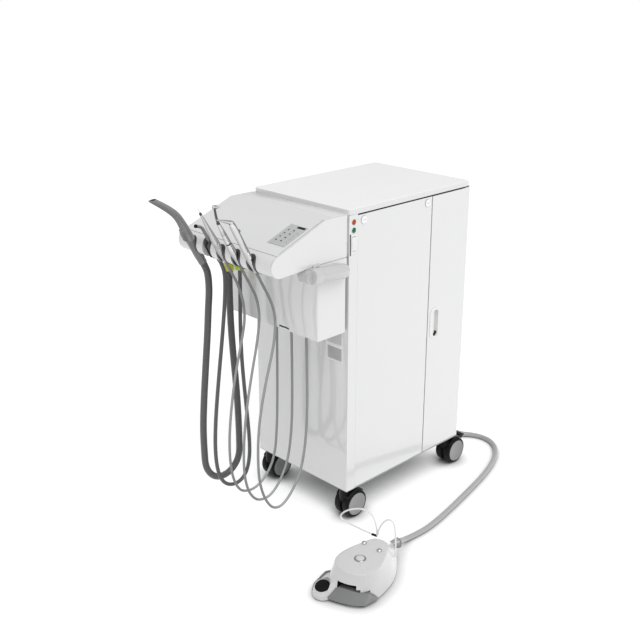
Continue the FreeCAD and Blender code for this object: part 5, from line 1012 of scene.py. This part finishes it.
LEVELS = [(1.5, FOOT_LOW, FOOT_LOW, 0), (3.5, FOOT_LOW, FOOT_LOW, 0), (18, FOOT_LOW, FOOT_WAIST, 0.4),
          (42, FOOT_LOW, FOOT_WAIST, 1), (62, FOOT_WAIST, FOOT_HIGH, 0.5), (76, FOOT_WAIST, FOOT_HIGH, 0.9),
          (81.5, FOOT_WAIST, FOOT_HIGH, 1.02), (83, FOOT_WAIST, FOOT_HIGH, 1.15)]


def loft(levels):
    """A closed bmesh through levels of (height, outline, other outline, share of the other)."""
    bm = bmesh.new()
    height, low = levels[0][:2]
    corners = [bm.verts.new((x * MM, y * MM, height * MM)) for x, y in low]
    face = bm.faces.new(corners)
    for step, (height, low, high, share) in enumerate(levels[1:]):
        grown = bmesh.ops.extrude_face_region(bm, geom=[face])["geom"]
        if step and face.is_valid:
            bm.faces.remove(face)
        face = [g for g in grown if isinstance(g, bmesh.types.BMFace)][0]
        corners = [min(face.verts, key=lambda v: (v.co - old.co).length) for old in corners]
        for corner, (a, b), (c, d) in zip(corners, low, high):
            corner.co = Vector((a + (c - a) * share, b + (d - b) * share, height)) * MM
    bmesh.ops.recalc_face_normals(bm, faces=bm.faces)
    return bm


shell = piece_from(put(loft(LEVELS), FOOT_MATRIX), "foot_shell_blank")
smoothing = shell.modifiers.new("smooth", "SUBSURF")
smoothing.levels = smoothing.render_levels = 2
pedal_room = block((77, 140), (-60, 60), (-5, 37), 0)
flank_room = put(plate([(48, -5), (95, -5), (95, 37), (90, 37)], -70, -36, 0), turn(90, "X"))
slot_room = block((84, 140), (-26, 20), (30, 55), 0)
notch_room = block((84, 140), (15, 28), (30, 44), 0)
button_well = put(spun([(0, -12.5), (12, -12.5), (12, 8), (0, 8)], 40), move(41, -5, 82))
tools = joined(pedal_room, flank_room, slot_room, notch_room, button_well)
bmesh.ops.recalc_face_normals(tools, faces=tools.faces)
cutter = piece_from(put(tools, FOOT_MATRIX), "foot_shell_tool")
foot_shell = fit(carved(shell, cutter), None, "foot_shell", "cabinet", "foot_white", replaced="foot_housing",
                 sharp=30)
# painted shade: the cut faces of the pedal's room, the slot and the button's well are black
foot_shell.data.materials.append(FINISHES["foot_dark"])
# painted shade: a dark sheet at the back of the pedal's room
slot_shadow = block((78.2, 79.7), (-32, 34), (13, 53), 0.3)
on_foot_control(slot_shadow, "foot_lining", "foot_dark")
base = plate([(-114, -10), (-114, 10), (-100, 17), (-72, 30), (-24, 44), (30, 47), (56, 45), (84, 36), (106, 20),
              (109, 0), (109, -38), (122, -54), (127, -66), (120, -82), (106, -94), (84, -103), (30, -104),
              (10, -84), (-6, -54), (-24, -46), (-72, -32), (-100, -19)], 0, 7.5, 1.4, 3)
on_foot_control(base, "foot_base_plate", "foot_grey", replaced="foot_base")
print("foot shell lofted through", len(LEVELS), "levels")

# %% [markdown]
# The toe button sits on an arm that runs down from the shell. An arm like this has no outline to extrude: it is
# the tightest skin over a few rings and corners, so `convex_hull` makes it, and a fine voxel remesh with a smooth
# after it gives the soft edges of a moulding.

# %% Grow the arm of the toe button
TOE_PLACE, TOE_TILT = (108, -64.5, 26.5), 19
ARM_RINGS = [((106.5, -65, 1.5), 23, 0), ((106.5, -65, 13), 23.4, 0), (TOE_PLACE, 20.6, TOE_TILT)]
ARM_CORNERS = [(78, -66, 47), (88, -46, 52), (103, -27, 53), (105, -27, 40), (115.5, -38.5, 27),
               (120, -50.5, 9), (117, -52, 2), (78, -62, 2), (80, -36, 50)]
RING_CORNERS = 40
arm = bmesh.new()
for centre, radius, tilt in ARM_RINGS:
    seat = move(*centre) @ turn(tilt, "Y")
    for step in range(RING_CORNERS):
        angle = math.tau * step / RING_CORNERS
        arm.verts.new(seat @ Vector((radius * MM * math.cos(angle), radius * MM * math.sin(angle), 0)))
for corner in ARM_CORNERS:
    arm.verts.new(Vector(corner) * MM)
bmesh.ops.convex_hull(arm, input=arm.verts)
bmesh.ops.delete(arm, geom=[v for v in arm.verts if not v.link_faces], context="VERTS")
toe_seat = FOOT_MATRIX @ move(*TOE_PLACE) @ turn(TOE_TILT, "Y")
arm_blank = piece_from(put(arm, FOOT_MATRIX), "toe_arm_blank")
disc_room = piece_from(put(spun([(0, -11), (8.5, -11), (8.5, -6.5), (18.6, -6.5), (18.6, 0), (20.6, 0),
                                 (20.6, 45), (0, 45)], 56), toe_seat), "toe_disc_room")
arm_piece = fit(carved(arm_blank, disc_room), None, "toe_arm", "cabinet", "foot_white", sharp=180)
skin = arm_piece.modifiers.new("skin", "REMESH")
skin.mode = "VOXEL"
skin.voxel_size = 1.5 * MM
skin.use_smooth_shade = True
soft = arm_piece.modifiers.new("soft", "SMOOTH")
soft.factor = 0.5
soft.iterations = 9
collar = spun([(18.1, -4), (18.1, 2.2), (18.4, 2.8), (19, 2.7), (19.9, 1.8), (20.5, -0.6), (20.5, -4),
               (18.1, -4)], 56)
fit(collar, toe_seat, "toe_collar", "cabinet", "foot_white")
disc = spun([(0, -3.5), (4, -3.5), (4, 0.2), (14.5, 0.2), (17, 1.5), (16.6, 2.6), (15, 3.2), (0, 3.5)], 56)
fit(disc, toe_seat, "toe_disc", "foot_toe_button", "foot_dark", replaced="foot_toe_button")
print("toe arm grown over", len(ARM_RINGS), "rings")

# %% [markdown]
# The pedal is a sheet with a sloping face, whose front edge sweeps back to the right and folds round the corner.
# Each row below is one line down it: under the shell, the upper fold, the lower fold and the turned-in edge.

# %% Fold the pedal
PEDAL = [((89, -25, 37), (105, -25, 38), (120.5, -48.5, 11), (117.5, -48.5, 5)),
         ((89, -9, 38), (105, -9, 39), (119.5, -27, 10.5), (116, -27, 4.2)),
         ((89, 7, 38), (104, 7, 39), (117, -6, 10), (113.5, -6, 4.2)),
         ((88, 20, 37.5), (102.5, 20, 38.5), (113, 12, 9.5), (109.5, 11.5, 4.2)),
         ((84, 30, 36), (99, 32, 37.5), (106.5, 28, 9), (103, 27, 4.2)),
         ((74, 40, 33), (91, 46.5, 35.5), (98.5, 41, 8), (95, 39.5, 4.2)),
         ((57, 44, 8), (57, 53, 9), (59, 53, 6.5), (60, 51, 4.2))]
bm = bmesh.new()
rows = [[bm.verts.new(Vector(place) * MM) for place in row] for row in PEDAL]
for row, after in zip(rows, rows[1:]):
    for i in range(len(row) - 1):
        bm.faces.new((row[i], row[i + 1], after[i + 1], after[i]))
pedal = fit(bm, FOOT_MATRIX, "foot_pedal_sheet", "foot_pedal", "foot_grey", replaced="foot_pedal", sharp=22)
thick = pedal.modifiers.new("thick", "SOLIDIFY")
thick.thickness = 2.4 * MM
thick.offset = -1
round_edges(pedal, 0.9, 3, sharper_than=25)
print("pedal folded along", len(PEDAL), "rows")

# %% Fit the foot control's buttons and gland
button_seat = FOOT_MATRIX @ move(41, -5, 82.3)
ring = spun([(11.2, -6), (11.2, 0.8), (11.7, 1.8), (12.9, 2.1), (13.9, 1.3), (14.4, 0.2), (14.4, -1.5),
             (11.9, -1.5), (11.9, -6), (11.2, -6)], 52)
fit(ring, button_seat, "foot_button_ring", "cabinet", "instrument_metal", "ring_metal")
cap = spun([(0, -6), (10.6, -6), (10.6, 1.8), (10.1, 2.8), (8.8, 3.6), (5, 4.1), (0, 4.3)], 52)
fit(cap, button_seat, "foot_button_cap", "foot_button", "foot_white", replaced="foot_button")
for side, x, y in (("left", -18, -27), ("right", -9, 18)):
    knob = spun([(0, -3), (6.2, -3), (6.2, 1.2), (5.9, 3.0), (4.9, 4.9), (2.8, 6.2), (0, 6.6)], 36)
    fit(knob, FOOT_MATRIX @ move(x, y, 81.6), f"foot_knob_{side}", "cabinet", "foot_white", "pale_metal")
gland_seat = FOOT_MATRIX @ move(-108, -8.5, 30) @ turn(-27, "Z") @ turn(-90, "Y")
gland = spun([(0, 0), (9.2, 0), (9.6, 8), (11, 17), (12.8, 26), (13, 28), (0, 28)], 44)
fit(gland, gland_seat, "foot_gland_cone", "cabinet", "hose_rubber", "suction_grey", "foot_gland")
mouth = spun([(0, 27.4), (12.9, 27.4), (13.1, 29.6), (12.2, 30.6), (8.4, 30.8), (7.2, 29.8), (0, 29.8)], 44)
fit(mouth, gland_seat, "foot_gland_mouth", "cabinet", "foot_dark", "dark_grip")
print("foot control fitted")

# %% Bend the wire bail
BAIL_X = -62
BAIL = [(-20, 82), (-27, 82), (-70, 87), (-108, 94), (-119, 101), (-110, 117), (-86, 134), (-52, 145), (-30, 136),
        (-21, 117), (-17, 98), (-17, 84), (-15, 84), (-13, 98), (-5, 118), (9, 136), (25, 137), (32, 114),
        (33, 86), (34, 42)]
bail = bent([(BAIL_X, y, z) for y, z in BAIL], 8, 2.1, 0, 16)
on_foot_control(bail, "foot_bail", "wire_white", replaced="foot_handle")
clip = block((-64.6, -59.4), (-31, -16), (79.4, 84.6), 1.6, 3)
on_foot_control(clip, "foot_bail_clip", "foot_dark")
print("bail bent")
